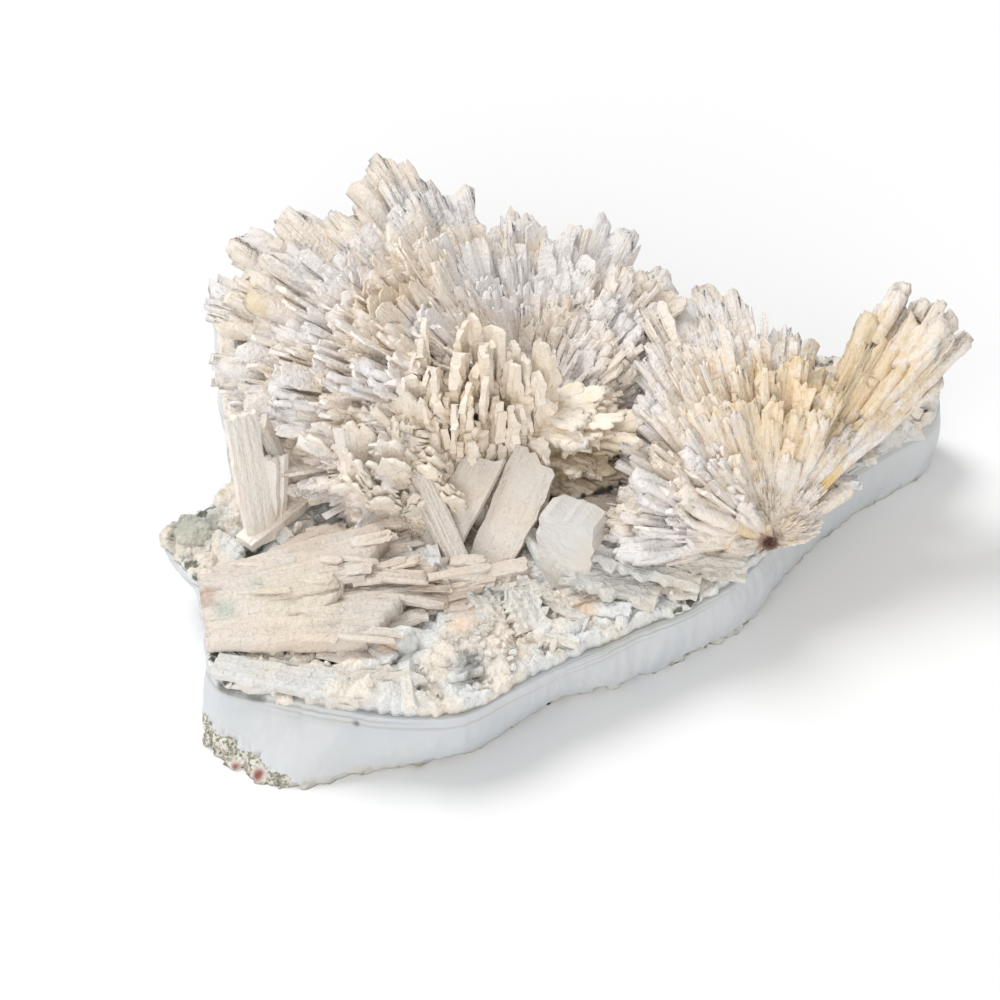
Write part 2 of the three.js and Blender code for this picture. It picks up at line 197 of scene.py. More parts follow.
# The node, its material slot and the height below which none of its pieces reaches.
NODES = {
    "chalcedony_slab": ("chalcedony", 0.0),
    "drusy_crust": ("druse", SLAB_TOP + GAP),
    "great_rosette": ("lavender_quartz", SEAT),
    "yellow_spray": ("yellow_quartz", SEAT),
    "lying_fan": ("cream_quartz", SEAT),
    "left_blades": ("cream_quartz", SEAT),
    "pillar_blades": ("cream_quartz", SEAT),
    "crossed_blades": ("cream_quartz", SEAT),
    "block_crystal": ("clear_quartz", SEAT),
}
FLOOR_HALF = 4.0  # metres from the specimen to the floor's edge
CAMERA_TARGET = (-18, 0, 25)  # what the camera looks at, in the drawing
# Where each operator's random draws start.
SEEDS = {"crust": 5, "rosette": 11, "column": 17, "yellow spray": 23, "lying fan": 37, "lone blades": 60}

# ------------------------------------------------------------------ settings that a user would change


def hex_colour(code):
    """The linear colour of an sRGB hex code: each channel is undone by the sRGB transfer curve."""
    channels = [int(code[i : i + 2], 16) / 255 for i in (1, 3, 5)]
    return tuple(c / 12.92 if c <= 0.04045 else ((c + 0.055) / 1.055) ** 2.4 for c in channels)


def colour_property(name, code, description):
    """A colour setting whose default is a hex code."""
    return FloatVectorProperty(
        name=name, description=description, subtype="COLOR", size=3, min=0, max=1, default=hex_colour(code)
    )


class SpecimenSizes(bpy.types.PropertyGroup):
    """Sizes and counts of the specimen's crystals."""

    rosette_bundles: IntProperty(name="Rosette bundles", description="In the great rosette", default=260)
    rosette_flakes: IntProperty(name="Rosette flakes", description="Short flakes between them", default=1100)
    yellow_bundles: IntProperty(name="Yellow bundles", description="In the yellow spray", default=150)
    yellow_flakes: IntProperty(name="Yellow flakes", description="Short flakes between them", default=800)
    fingers: IntProperty(name="Fingers", description="Blunt fingers at the yellow spray's right", default=70)
    shelves: IntProperty(name="Shelves", description="Thin shelves right of the column", default=46)
    shards: IntProperty(name="Shards", description="Broken blades strewn on the crust", default=130)
    fan_flakes: IntProperty(name="Fan flakes", description="Thin flakes on the low fan", default=90)
    druse_crystals: IntProperty(name="Druse", description="Small crystals strewn on the crust", default=900)


class SpecimenColours(bpy.types.PropertyGroup):
    """Colours of the specimen's stones."""

    lavender: colour_property("Lavender quartz", "#fcf7f4", "Smooth blades of the rosette")
    cream: colour_property("Cream quartz", "#fcf1e3", "Chalky blades")
    yellow: colour_property("Yellow stain", "#f1cb84", "Iron stain between the yellow blades")
    # A real tan stain, which is also laid on as painted shade in the crevices and, in the yellow spray, at
    # the roots.
    tan: colour_property("Tan stain", "#e4cba9", "Stain in the crevices")
    # Painted shade: a darker colour towards the blades' roots, where the hollows of the sprays lie in shade.
    root_shade: colour_property("Deep hollow", "#b8a48d", "Hollows at the blades' roots")
    chalcedony: colour_property("Chalcedony", "#c9cdd1", "The slab")
    druse: colour_property("Druse", "#e0e1df", "The crust of tiny crystals")


class StageSettings(bpy.types.PropertyGroup):
    """Camera and light."""

    elevation: FloatProperty(
        name="Camera elevation", description="How far the camera looks down", subtype="ANGLE",
        default=math.radians(42),
    )
    distance: FloatProperty(
        name="Camera distance", description="From the middle of the specimen", unit="LENGTH", default=0.842
    )
    lens: FloatProperty(name="Lens", description="Focal length", unit="CAMERA", default=100)
    key: FloatProperty(name="Key light", description="Strength of the overhead softbox", default=1.7)
    front: FloatProperty(name="Front light", description="Strength of the light from the front", default=1.25)
    fill: FloatProperty(name="Fill light", description="Strength of the white surroundings", default=0.57)


# ------------------------------------------------------------------ arrays


def headings(bearing, elevation):
    """Unit directions: (cos b cos e, sin b cos e, sin e)."""
    b, e = np.radians(bearing), np.radians(elevation)
    return table(np.cos(b) * np.cos(e), np.sin(b) * np.cos(e), np.sin(e))


def unit(vectors):
    return vectors / np.linalg.norm(vectors, axis=-1, keepdims=True)


def axes(bearing, elevation, roll):
    """A blade's three directions: along it, across its width, and out of its flat face. The width
    starts level and is turned about the blade by the roll."""
    along = headings(bearing, elevation)
    level = headings(np.asarray(bearing, float) - 90, 0 * np.asarray(bearing, float))
    turn = np.radians(roll)[..., None]
    across = level * np.cos(turn) + np.cross(along, level) * np.sin(turn)
    return along, across, np.cross(across, along)


def ease(x):
    """Smoothstep from 0 to 1."""
    x = np.clip(x, 0, 1)
    return x * x * (3 - 2 * x)


def table(*columns):
    """Columns, or single numbers that are the same in every row, side by side as one array."""
    return np.stack(np.broadcast_arrays(*columns), -1)


# What turns a lattice corner into a number that looks random: the fraction of a large sine of it.
HASH_WAY = np.array([12.9898, 78.233, 37.719])
HASH_SEED = 7.13
HASH_SIZE = 43758.5453


def grain(points, cell, seed):
    """Value noise from -1 to 1: random numbers on a cubic lattice of that cell, eased between corners."""
    place = points / cell
    base = np.floor(place)
    share = ease(place - base)
    total = np.zeros(points.shape[:-1])
    for corner in np.ndindex(2, 2, 2):
        key = (base + corner) @ HASH_WAY + seed * HASH_SEED
        value = np.modf(np.abs(np.sin(key) * HASH_SIZE))[0]
        total += value * np.prod(np.where(np.array(corner) == 1, share, 1 - share), axis=-1)
    return 2 * total - 1


def cells(points, cell, seed):
    """Cellular noise: each lattice cube holds one jittered point, and every place belongs to the nearest
    of them. Gives the distance to it, as a share of the cell, its own number from 0 to 1, and the way
    to it."""
    place = points / cell
    base = np.floor(place)
    nearest = np.full(points.shape[:-1], 9.0)
    owner = np.zeros(points.shape[:-1])
    way = np.zeros(points.shape)
    for corner in np.ndindex(3, 3, 3):
        home = base + corner - 1
        key = home @ HASH_WAY + seed * HASH_SEED
        jitter = [np.modf(np.abs(np.sin(key * turn) * HASH_SIZE))[0] for turn in (1.0, 1.7, 2.3, 3.1)]
        gap = home + np.stack(jitter[:3], -1) - place
        distance = np.linalg.norm(gap, axis=-1)
        closer = distance < nearest
        nearest = np.where(closer, distance, nearest)
        owner = np.where(closer, jitter[3], owner)
        way = np.where(closer[..., None], gap, way)
    return nearest, owner, way


def reach_at(spray, bearing, elevation):
    """A spray's length in a direction: the level reach at that bearing, times a profile that falls off
    towards the zenith, so that the spray opens like a flower, less up to a tenth between its lobes."""
    reach = spray["reach"]
    stops = np.arange(len(reach) + 1) * 360 / len(reach)
    level = np.interp(np.mod(bearing, 360), stops, [*reach, reach[0]])
    lobes = grain(headings(np.asarray(bearing, float), elevation), 0.24, 8)
    return level * np.interp(elevation, *OPENING) * (1 - 0.1 * ease(0.5 - lobes))


# ------------------------------------------------------------------ meshes


def put_mesh(name, points, faces, attributes, smooth=False):
    """Puts points, in drawing millimetres, and blocks of faces into a mesh object at the origin."""
    mesh = bpy.data.meshes.new(name)
    mesh.vertices.add(len(points))
    mesh.vertices.foreach_set("co", (points * MM + SHIFT).astype(np.float32).ravel())
    corners = np.concatenate([block.ravel() for block in faces]).astype(np.int32)
    sizes = np.concatenate([np.full(len(block), block.shape[1]) for block in faces])
    mesh.loops.add(len(corners))
    mesh.loops.foreach_set("vertex_index", corners)
    mesh.polygons.add(len(sizes))
    mesh.polygons.foreach_set("loop_start", (np.cumsum(sizes) - sizes).astype(np.int32))
    mesh.polygons.foreach_set("use_smooth", np.full(len(sizes), smooth))
    for title, values in attributes.items():
        kind, field = ("FLOAT_VECTOR", "vector") if values.ndim == 2 else ("FLOAT", "value")
        layer = mesh.attributes.new(title, kind, "POINT")
        layer.data.foreach_set(field, values.astype(np.float32).ravel())
    mesh.update(calc_edges=True)
    mesh.validate()
    piece = bpy.data.objects.new(name, mesh)
    bpy.context.scene.collection.objects.link(piece)
    return piece


def place_piece(name, surface, material, node, smooth=False):
    """Makes a piece of a surface's points, faces and attributes, to be seen in place of the node. What
    would reach below the node's floor is lifted to it."""
    slot, floor = NODES[node]
    points, faces, attributes = surface
    points[:, 2] = np.maximum(points[:, 2], floor)
    piece = put_mesh(name, points, faces, attributes, smooth)
    piece.data.materials.append(material)
    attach(piece, "root")
    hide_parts(node)


def wrapped_quads(rings, around):
    """Faces of a tube of rings, each a closed loop of points, facing out when a ring runs clockwise
    seen from the tube's end."""
    r, a = np.meshgrid(np.arange(rings - 1), np.arange(around), indexing="ij")
    b = (a + 1) % around
    return table(r * around + a, (r + 1) * around + a, (r + 1) * around + b, r * around + b).reshape(-1, 4)


def closed_tube(rings, around):
    """Faces of a tube of rings that is closed by a cap on its first and on its last ring."""
    cap = np.arange(around)[None]
    return [wrapped_quads(rings, around), cap, cap[:, ::-1] + (rings - 1) * around]


GROOVE_PAINTED_SHADE = 0.08  # painted shade in the grooves: a plate's lowest groove is coloured as if this much nearer to its root
LATH_FOOT, LATH_BREAK = 0.8, 0.4  # a lath's width at its foot, as a share, and how uneven its end is
# The section of a lath: a flat prism with bevelled edges, in shares of its half width and thickness.
SECTION = np.array([
    (1, 0.3), (0.72, 1), (-0.72, 1), (-1, 0.3), (-1, -0.3), (-0.72, -1), (0.72, -1), (1, -0.3),
])


def laid_out(rows, reach, across, out, low=0.0):
    """Points and attributes of blades: root + reach x along + across x its own direction + out x the way out
    of the flat face. tip is the share of the spray's reach, less where the surface is low so that the grooves
    take painted shade, streak follows the blade's length, width and own number, and tone is that number, from
    0 to 1."""
    root, along, sideways, outward = (rows[key][:, None, None] for key in ("root", "along", "across", "out"))
    points = root + reach[..., None] * along
    points = points + across[..., None] * sideways + out[..., None] * outward
    near, far, length, tone = (rows[key][:, None, None] for key in ("near", "far", "length", "tone"))
    tone = np.broadcast_to(tone, reach.shape)
    attributes = {
        "tip": (near + (far - near) * reach / length + GROOVE_PAINTED_SHADE * low).ravel(),
        "streak": table(reach, across, tone * 97).reshape(-1, 3),
        "tone": tone.ravel(),
    }
    return points.reshape(-1, 3), attributes


def laths(rows, rng, rings=3):
    """Flat prisms of stone with broken ends. A point is root + along x (station x length, less the end's
    own raggedness) + across x half width x section + out x half thickness x section. A lath widens from its
    foot, closes to its blunt end, and every point is nudged by up to 16 per cent."""
    count, around = len(rows["length"]), len(SECTION)
    shape = (count, rings, around)
    length, width, thick = (rows[key][:, None, None] for key in ("length", "width", "thick"))
    station = 1 - (1 - np.linspace(0, 1, rings)) ** 1.7
    grow = np.tile(LATH_FOOT + (1 - LATH_FOOT) * ease(station / 0.8), (count, 1))
    grow[:, -1] *= rows["blunt"]
    nudge = rng.uniform(0.84, 1.16, (2, *shape))
    across = width / 2 * grow[..., None] * SECTION[:, 0] * nudge[0]
    out = thick / 2 * grow[..., None] * SECTION[:, 1] * nudge[1]
    reach = length * np.broadcast_to(station[:, None], shape)
    lean = (rows["slant"] * rows["width"])[:, None] / 2 * SECTION[:, 0]
    reach[:, -1] += lean - np.abs(lean) - rng.random((count, around)) * LATH_BREAK
    first = (np.arange(count) * rings * around)[:, None, None]
    sides = (wrapped_quads(rings, around)[None] + first).reshape(-1, 4)
    root_caps = np.arange(around)[None] + first[:, 0]
    tip_caps = np.arange(rings * around - 1, (rings - 1) * around - 1, -1)[None] + first[:, 0]
    points, attributes = laid_out(rows, reach, across, out)
    return points, [sides, root_caps, tip_caps], attributes


def plates(
    rows, rng, columns=12, stations=12, ridge=0.3, grit=0.18, step=0.35, stagger=0.35, rounding=0.25,
    thin=0.45, edge=0.12,
):
    """Plates of stone, each a closed sheet of fibres grown together. Column k runs along the plate at its
    own share x of the half width and ends short of the tip by the width x (rounding x^2 + stagger x a
    random share, which is a wave over the columns with a little of each column's own). The plate widens
    from its foot, and its edge wanders by the edge share. Either face stands off the middle by half the
    thickness x (1 - thin |x|^3) x (1 + the column's ridge + grit), less a step beyond the place where the
    column's outer leaf has broken off. A bend and a cup curve the whole plate."""
    count = len(rows["length"])
    length, width, thick, foot = (rows[key][:, None, None] for key in ("length", "width", "thick", "foot"))
    slant, bend, cup = (rows[key][:, None, None] for key in ("slant", "bend", "cup"))
    x = np.linspace(1, -1, columns)
    t = np.linspace(0, 1, stations)[:, None]
    phase = rng.uniform(0, 6.3, (2, count, 1, 1))
    wave = 0.5 + 0.25 * np.sin(2.6 * x + phase[0]) + 0.25 * np.sin(6.5 * x + phase[1])
    own = 0.65 * wave + 0.35 * rng.random((count, 1, columns)) ** 2
    torn = (rounding * x**2 + stagger * own) * (width / length)
    end = 1 - np.minimum(torn, 0.45) + slant * x
    reach = length * t * (1 - (1 - end) * t**1.5)
    reach = reach + rng.uniform(-0.25, 0.25, reach.shape) * (t > 0) * length / stations
    grow = foot + (1 - foot) * ease(t / 0.75)
    place = x + rng.uniform(-0.5, 0.5, reach.shape) / columns
    place = place * (1 + (np.abs(x) > 0.99) * rng.uniform(-edge, edge, reach.shape))
    across = width / 2 * grow * place
    half = thick / 2 * (0.5 + 0.5 * grow) * (1 - thin * np.abs(x) ** 3)
    curve = bend * t**2 * length + cup * place**2 * width
    faces_out, low = [], []
    for side in (1, -1):
        rib = ridge * rng.uniform(-1, 1, (count, 1, columns)) + grit * rng.uniform(-1, 1, reach.shape)
        broken = step * (t > rng.uniform(0.4, 1.15, (count, 1, columns)))
        faces_out.append(curve + side * half * np.maximum(1 + rib - broken, 0.15))
        low.append(rib - broken)
    reach, across = (np.concatenate([value, value[..., ::-1]], -1) for value in (reach, across))
    out = np.concatenate([faces_out[0], faces_out[1][..., ::-1]], -1)
    low = np.concatenate([low[0], low[1][..., ::-1]], -1)
    first = (np.arange(count) * stations * 2 * columns)[:, None, None]
    sides = (wrapped_quads(stations, 2 * columns)[None] + first).reshape(-1, 4)
    k = np.arange(columns - 1)
    cap = table(k, k + 1, 2 * columns - 2 - k, 2 * columns - 1 - k)
    roots = (cap[None] + first).reshape(-1, 4)
    tips = (cap[None, :, ::-1] + first + (stations - 1) * 2 * columns).reshape(-1, 4)
    points, attributes = laid_out(rows, reach, across, out, low)
    return points, [sides, roots, tips], attributes


def plate_rows(
    roots, bundles, layers, rng, start=0.12, flare=0.35, roll=0, wobble=15, shrink=0.2, fan=0.07,
    slant=0.03, loose=0.15,
):
    """Rows for plates(): every bundle becomes a stack of plates which lean apart by up to the fan share
    and reach between 1 - shrink and 1 of the length. They are flare as wide at their feet, at the start
    share. A bundle is turned about itself by the roll, give or take the wobble, both in degrees."""
    bearing, elevation, length, width, thick = bundles.T
    count = len(bundles)
    shape = (count, layers)
    turn = roll + rng.uniform(-1, 1, count) * wobble
    along, across, out = (direction[:, None] for direction in axes(bearing, elevation, turn))
    length, width, thick = (np.broadcast_to(value[:, None], shape) for value in (length, width, thick))
    y = (2 * np.arange(layers) + 1) / layers - 1 + rng.uniform(-0.3, 0.3, shape) / layers
    way = along + rng.uniform(-fan, fan, shape + (1,)) * across + (0.25 * thick / length * y)[..., None] * out
    way = unit(way)
    side = unit(across - way * np.sum(across * way, -1, keepdims=True))
    far = 1 - shrink * rng.random(shape) ** 1.3 - 0.03 * y**2
    far[:, layers // 2] = 1
    roots = np.broadcast_to(np.asarray(roots, float), (count, 3))[:, None]
    base = roots + (length * start)[..., None] * along
    base = base + (y * thick * 0.4 * max(flare, 0.3))[..., None] * out
    base = base + (rng.uniform(-loose, loose, shape) * width * flare)[..., None] * across
    total = count * layers
    return {
        "root": base.reshape(-1, 3),
        "along": way.reshape(-1, 3),
        "across": side.reshape(-1, 3),
        "out": np.cross(side, way).reshape(-1, 3),
        "length": (length * (far - start)).ravel(),
        "width": (width * rng.uniform(1 - loose, 1.05, shape)).ravel(),
        "thick": (thick / layers * rng.uniform(0.9, 1.4, shape)).ravel(),
        "foot": np.full(total, flare),
        "slant": rng.uniform(-slant, slant, total),
        "bend": rng.uniform(-0.03, 0.03, total) * (loose > 0.1),
        "cup": rng.uniform(-0.08, 0.08, total) * (loose > 0.1),
        "near": np.broadcast_to(start, shape).ravel(),
        "far": far.ravel(),
        "tone": rng.random(total),
    }


def book_rows(books, layers, rng, *args, **shape):
    """Rows for plates(): one bundle for each book, which is its root and then the bundle's five numbers."""
    return stacked(*(
        plate_rows(root, np.array([rest], float), layers, rng, *args, **shape) for root, *rest in books
    ))


def raised(rows, near, far=0.0):
    """The rows with their roots and tips shown as if they stood that much farther out, so less stained and
    less darkened by the painted shade of the roots, and more by the painted shade at the tips.
    """
    return {**rows, "near": rows["near"] + near, "far": rows["far"] + far}


def flake_rows(spray, count, shares, length, width, thick, rng, wobble=40):
    """Rows for plates(): short flakes spread evenly over a spray's part of the sky, along its radii, with
    their tips between two shares of the reach."""
    low, high = np.sin(np.radians(spray["elevations"]))
    bearing = rng.uniform(*spray["bearings"], count)
    elevation = np.degrees(np.arcsin(rng.uniform(low, high, count)))
    share = rng.uniform(*shares, count)
    reach = reach_at(spray, bearing, elevation) * share
    size = np.minimum(rng.uniform(*length, count), reach * 0.8)
    bundles = table(bearing, elevation, reach, rng.uniform(*width, count), rng.uniform(*thick, count))
    start = (1 - size / reach)[:, None]
    rows = plate_rows(spray["focus"], bundles, 1, rng, start, 0.7, wobble=wobble, fan=0.12)
    rows["near"] = rows["near"] * share
    rows["far"] = rows["far"] * share
    return rows


def joined(*parts):
    """Several (points, faces, attributes) as one."""
    shift = 0
    faces = []
    for points, blocks, _ in parts:
        faces += [block + shift for block in blocks]
        shift += len(points)
    attributes = {title: np.concatenate([part[2][title] for part in parts]) for title in parts[0][2]}
    return np.concatenate([part[0] for part in parts]), faces, attributes


def spread_bundles(spray, count, width, thick, rng, short=0.86, lobe=14.0, pull=0.3):
    """Bundles spread over a spray's part of the sky by the golden ratio, then nudged and drawn by the pull
    towards the middles of its lobes, which are cells of direction about lobe degrees across, each of its
    own length: bearing, elevation, length, width and thickness of each."""
    k = np.arange(count)
    low, high = np.sin(np.radians(spray["elevations"]))
    bearing = spray["bearings"][0] + (spray["bearings"][1] - spray["bearings"][0]) * np.mod(k * 0.618034, 1)
    share = ((k + rng.random(count)) / count) ** 1.15
    elevation = np.degrees(np.arcsin(low + (high - low) * share))
    bearing = bearing + rng.uniform(-5, 5, count)
    _, owner, way = cells(headings(bearing, elevation) * 57.3, lobe, 5)
    way = unit(headings(bearing, elevation) * 57.3 + way * lobe * pull)
    bearing = np.mod(np.degrees(np.arctan2(way[:, 1], way[:, 0])), 360)
    elevation = np.clip(np.degrees(np.arcsin(way[:, 2])), *spray["elevations"])
    length = reach_at(spray, bearing, elevation) * rng.uniform(short, 1.0, count) * (0.94 + 0.08 * owner)
    return table(bearing, elevation, length, rng.uniform(*width, count), rng.uniform(*thick, count))


def tufts(bundles, count, rng):
    """Every bundle as a tuft of that many narrower ones, side by side and of uneven length."""
    bearing, elevation, length, width, thick = np.repeat(bundles, count, axis=0).T
    total = len(length)
    side = rng.uniform(-0.42, 0.42, total) * width
    lift = rng.uniform(-0.6, 0.6, total) * thick
    return table(
        bearing + np.degrees(side / length) / np.cos(np.radians(elevation)),
        elevation + np.degrees(lift / length),
        length * (1 - 0.18 * rng.random(total) ** 1.5),
        width * rng.uniform(0.28, 0.55, total),
        thick * rng.uniform(0.45, 0.75, total),
    )


def single_rows(roots, bearing, elevation, length, width, thick, rng):
    """Rows for laths(): one small lath at each root, turned about itself at random."""
    total = len(roots)
    along, across, out = axes(bearing, elevation, rng.uniform(-90, 90, total))
    return {
        "root": roots,
        "along": along,
        "across": across,
        "out": out,
        "length": length,
        "width": rng.uniform(*width, total),
        "thick": rng.uniform(*thick, total),
        "blunt": rng.uniform(0.5, 0.95, total),
        "slant": rng.uniform(-0.6, 0.6, total),
        "near": np.ones(total),
        "far": np.ones(total),
        "tone": rng.random(total),
    }


def stacked(*tables):
    """Several tables of rows as one."""
    return {key: np.concatenate([rows[key] for rows in tables]) for key in tables[0]}


def heart(spray, share, relief, cell, seed, around=480, up=150):
    """The dense heart of a spray, where its blades have grown together: a dome of radius share x reach.
    Cells of direction of three sizes each stand at their own height, so that its top is the ends of
    blades, in tufts, and its steep sides are grooved along the radii."""
    bearing = np.arange(around) * -360 / around
    elevation = np.linspace(0, 89, up)
    b, e = np.meshgrid(bearing, elevation)
    way = headings(b, e)
    distance, owner, _ = cells(way * 60, cell, seed)
    fine, tiny, _ = cells(way * 60, cell / 2.2, seed + 1)
    tuft, lobe, _ = cells(way * 60, cell * 4, seed + 2)
    ends = 0.6 * owner + 0.4 * tiny + 0.6 * lobe - 0.8
    level = share + relief * (ends - 0.3 * distance - 0.2 * fine - 0.4 * tuft)
    points = np.array(spray["focus"]) + way * (reach_at(spray, b, e) * level)[..., None]
    points[..., 2] = np.maximum(points[..., 2], SEAT)
    points[0, :, 2] = SEAT
    attributes = {"tip": level.ravel(), "streak": points.reshape(-1, 3), "tone": owner.ravel()}
    return points.reshape(-1, 3), closed_tube(up, around), attributes


def lump(centre, half, seed, cell=6.0, around=48, up=24):
    """A rounded lump of crystals: an ellipsoid with facets pressed into it by cellular noise, a cell
    being that many tenths of the half size."""
    turn = np.arange(around) * -2 * np.pi / around
    rise = np.linspace(-0.49, 0.49, up) * np.pi
    t, r = np.meshgrid(turn, rise)
    ball = table(np.cos(t) * np.cos(r), np.sin(t) * np.cos(r), np.sin(r))
    distance, owner, _ = cells(ball * 10 + seed, cell, seed)
    points = np.array(centre) + ball * np.array(half) * (0.9 + 0.22 * owner - 0.2 * distance)[..., None]
    attributes = {"tip": 0.55 + 0.5 * owner.ravel(), "streak": points.reshape(-1, 3), "tone": owner.ravel()}
    return points.reshape(-1, 3), closed_tube(up, around), attributes


# ------------------------------------------------------------------ materials

QUARTZ_IOR = 1.54
# Of a stain, in shares of its radius: how ragged it is, where it is full and where it has faded out.
STAIN_RAG, STAIN_FULL, STAIN_EDGE = 1.6, 1.1, 2.0

# Sizes of what makes the stones' patterns, in millimetres, most of them as so many in 10 mm. The real
# grains are finer than 1 mm, and are drawn as coarse as they need to be to show.
CLOUD, MOTTLE, GRIT = 20.0, 10 / 3, 10 / 8  # the blades' clouds of colour, mottling and grains
LINE_LENGTH, LINE_WIDTH = 10.0, 10 / 13  # the lines along a blade
CRUST_CLOUD, CRUST_MOTTLE, SUGAR = 50 / 3, 10 / 3.5, 10 / 9  # the crust's clouds, mottling and grains
SLAB_CLOUD, CRUMB, ROCK_GRAIN = 100 / 3, 10 / 1.6, 10 / 13  # the slab's clouds, crumbs, dark rock
BAND_LENGTH, BAND_GAP = 500 / 7, 10 / 9  # the hair-thin bands along the slab's upper edge


def per_metre(size):
    """The scale of a noise whose features have that size in millimetres."""
    return 1 / (size * MM)


def add(tree, kind, inputs=None, output=0, **settings):
    """Adds a node and gives one of its outputs. settings are its properties, inputs the values of its
    sockets or what feeds them."""
    made = tree.nodes.new(kind)
    for title, value in settings.items():
        setattr(made, title, value)
    for title, value in (inputs or {}).items():
        socket = made.inputs[title]
        if isinstance(value, bpy.types.NodeSocket):
            tree.links.new(value, socket)
        else:
            socket.default_value = (*value, 1.0) if socket.type == "RGBA" else value
    return made.outputs[output] if made.outputs else None


def new_material(name):
    """An empty material and its node tree."""
    material = bpy.data.materials.new(name)
    material.use_nodes = True
    material.node_tree.nodes.clear()
    return material, material.node_tree


def turned(tree, value, low, high, below, above, most=1.0):
    """One colour that turns into another as a value goes from low to high, eased between, by at most that
    share."""
    ramp = {"Value": value, "From Min": low, "From Max": high, "To Max": most}
    share = add(tree, "ShaderNodeMapRange", ramp, interpolation_type="SMOOTHSTEP")
    return add(tree, "ShaderNodeMixRGB", {"Fac": share, "Color1": below, "Color2": above})


def ragged_distance(tree, place, rag, centre, radius):
    """The distance in metres to a named place of the drawing + the rag share of the radius x a noise from
    0 to 1, where centre and radius are in millimetres."""
    middle = tuple(np.array(centre) * MM + SHIFT)
    away = add(tree, "ShaderNodeVectorMath", {0: place, 1: middle}, "Value", operation="DISTANCE")
    reach = radius * MM * STAIN_RAG
    return add(tree, "ShaderNodeMath", {0: rag, 1: reach, 2: away}, operation="MULTIPLY_ADD")


def stained(tree, place, rag, colour, spots):
    """Stains at named places of the drawing: centre, radius in millimetres, hex colour and strength. Each
    fades out between its full and its edge share of the radius."""
    for centre, radius, code, strength in spots:
        away = ragged_distance(tree, place, rag, centre, radius)
        edge, full = radius * MM * STAIN_EDGE, radius * MM * STAIN_FULL
        colour = turned(tree, away, edge, full, colour, hex_colour(code), strength)
    return colour


def broken_stone(tree, colour, roughness, relief, strength, height, glow=None):
    """The surface that all the stones share: quartz's own gloss over a bumpy break. height is the relief's
    in metres, glow what the shader says of light that goes into the stone."""
    bump = add(tree, "ShaderNodeBump", {"Height": relief, "Strength": strength, "Distance": height})
    surface = {"Base Color": colour, "Roughness": roughness, "IOR": QUARTZ_IOR, "Normal": bump}
    shader = add(tree, "ShaderNodeBsdfPrincipled", {**surface, **(glow or {})})
    add(tree, "ShaderNodeOutputMaterial", {"Surface": shader})


def quartz(
    name, pale, cream, stain, root_shade, start, spots=(), roughness=0.62, lines=1.1, pits=0.15, bumps=0.0008
):
    """Pseudomorph quartz, fine-grained quartz that took the place of another mineral's blades: matte and
    chalky, streaked along the blades, cloudy in patches about 2 cm across, pitted by grains of about a
    millimetre, darkened a little towards the tips by painted shade that tones down the light they catch, and
    stained where the blades sink into the mass, a stain that is partly real and partly painted shade, darkest
    as painted shade at the roots. start is the share of the reach below which the stain and painted shade
    begin."""
    material, tree = new_material(name)
    place = add(tree, "ShaderNodeTexCoord", output="Object")
    tip = add(tree, "ShaderNodeAttribute", output="Fac", attribute_name="tip")
    tone = add(tree, "ShaderNodeAttribute", output="Fac", attribute_name="tone")
    streak = add(tree, "ShaderNodeAttribute", output="Vector", attribute_name="streak")
    cloud, mottle, grit = (
        add(tree, "ShaderNodeTexNoise", {"Vector": place, "Scale": per_metre(size), "Detail": detail})
        for size, detail in ((CLOUD, 3.0), (MOTTLE, 4.0), (GRIT, 4.0))
    )
    shape = (1 / LINE_LENGTH, 1 / LINE_WIDTH, 1.0)
    stretch = add(tree, "ShaderNodeMapping", {"Vector": streak, "Scale": shape})
    line = add(tree, "ShaderNodeTexNoise", {"Vector": stretch, "Scale": 1.0, "Detail": 4.0})
    colour = turned(tree, cloud, 0.4, 0.6, pale, cream)
    own = add(tree, "ShaderNodeMapRange", {"Value": tone, "To Min": 0.94, "To Max": 1.02})
    # Painted shade: the tips, which catch the most light, are made a little darker.
    ramp = {"Value": tip, "From Min": 0.65, "From Max": 1.0, "To Min": 1.0, "To Max": 0.91}
    tip_shade = add(tree, "ShaderNodeMapRange", ramp)
    shade = add(tree, "ShaderNodeMath", {0: own, 1: tip_shade}, operation="MULTIPLY")
    shaded = {"Fac": 1.0, "Color1": colour, "Color2": shade}
    colour = add(tree, "ShaderNodeMixRGB", shaded, blend_type="MULTIPLY")
    # How deep into the spray a place lies, from its tip share and noise: it places the stain, partly real and
    # partly painted shade, and the painted shade of the roots.
    depth = add(tree, "ShaderNodeMath", {0: mottle, 1: 0.45, 2: tip}, operation="MULTIPLY_ADD")
    depth = add(tree, "ShaderNodeMath", {0: cloud, 1: 0.25, 2: depth}, operation="MULTIPLY_ADD")
    colour = turned(tree, depth, start + 0.45, start + 0.2, colour, stain)
    # Painted shade: darkest towards the roots, where the hollows of the spray lie in shade.
    colour = turned(tree, depth, start + 0.22, start - 0.1, colour, root_shade)
    colour = stained(tree, place, mottle, colour, spots)
    speck = add(tree, "ShaderNodeMath", {0: grit, 1: mottle}, operation="MULTIPLY")
    ramp = {"Value": speck, "From Min": 0.17, "From Max": 0.12, "To Max": pits}
    pit = add(tree, "ShaderNodeMapRange", ramp)
    colour = add(tree, "ShaderNodeMixRGB", {"Fac": pit, "Color1": colour, "Color2": stain})
    relief = add(tree, "ShaderNodeMath", {0: line, 1: lines, 2: mottle}, operation="MULTIPLY_ADD")
    relief = add(tree, "ShaderNodeMath", {0: grit, 1: 1.4, 2: relief}, operation="MULTIPLY_ADD")
    broken_stone(tree, colour, roughness, relief, 0.8, bumps)
    return material


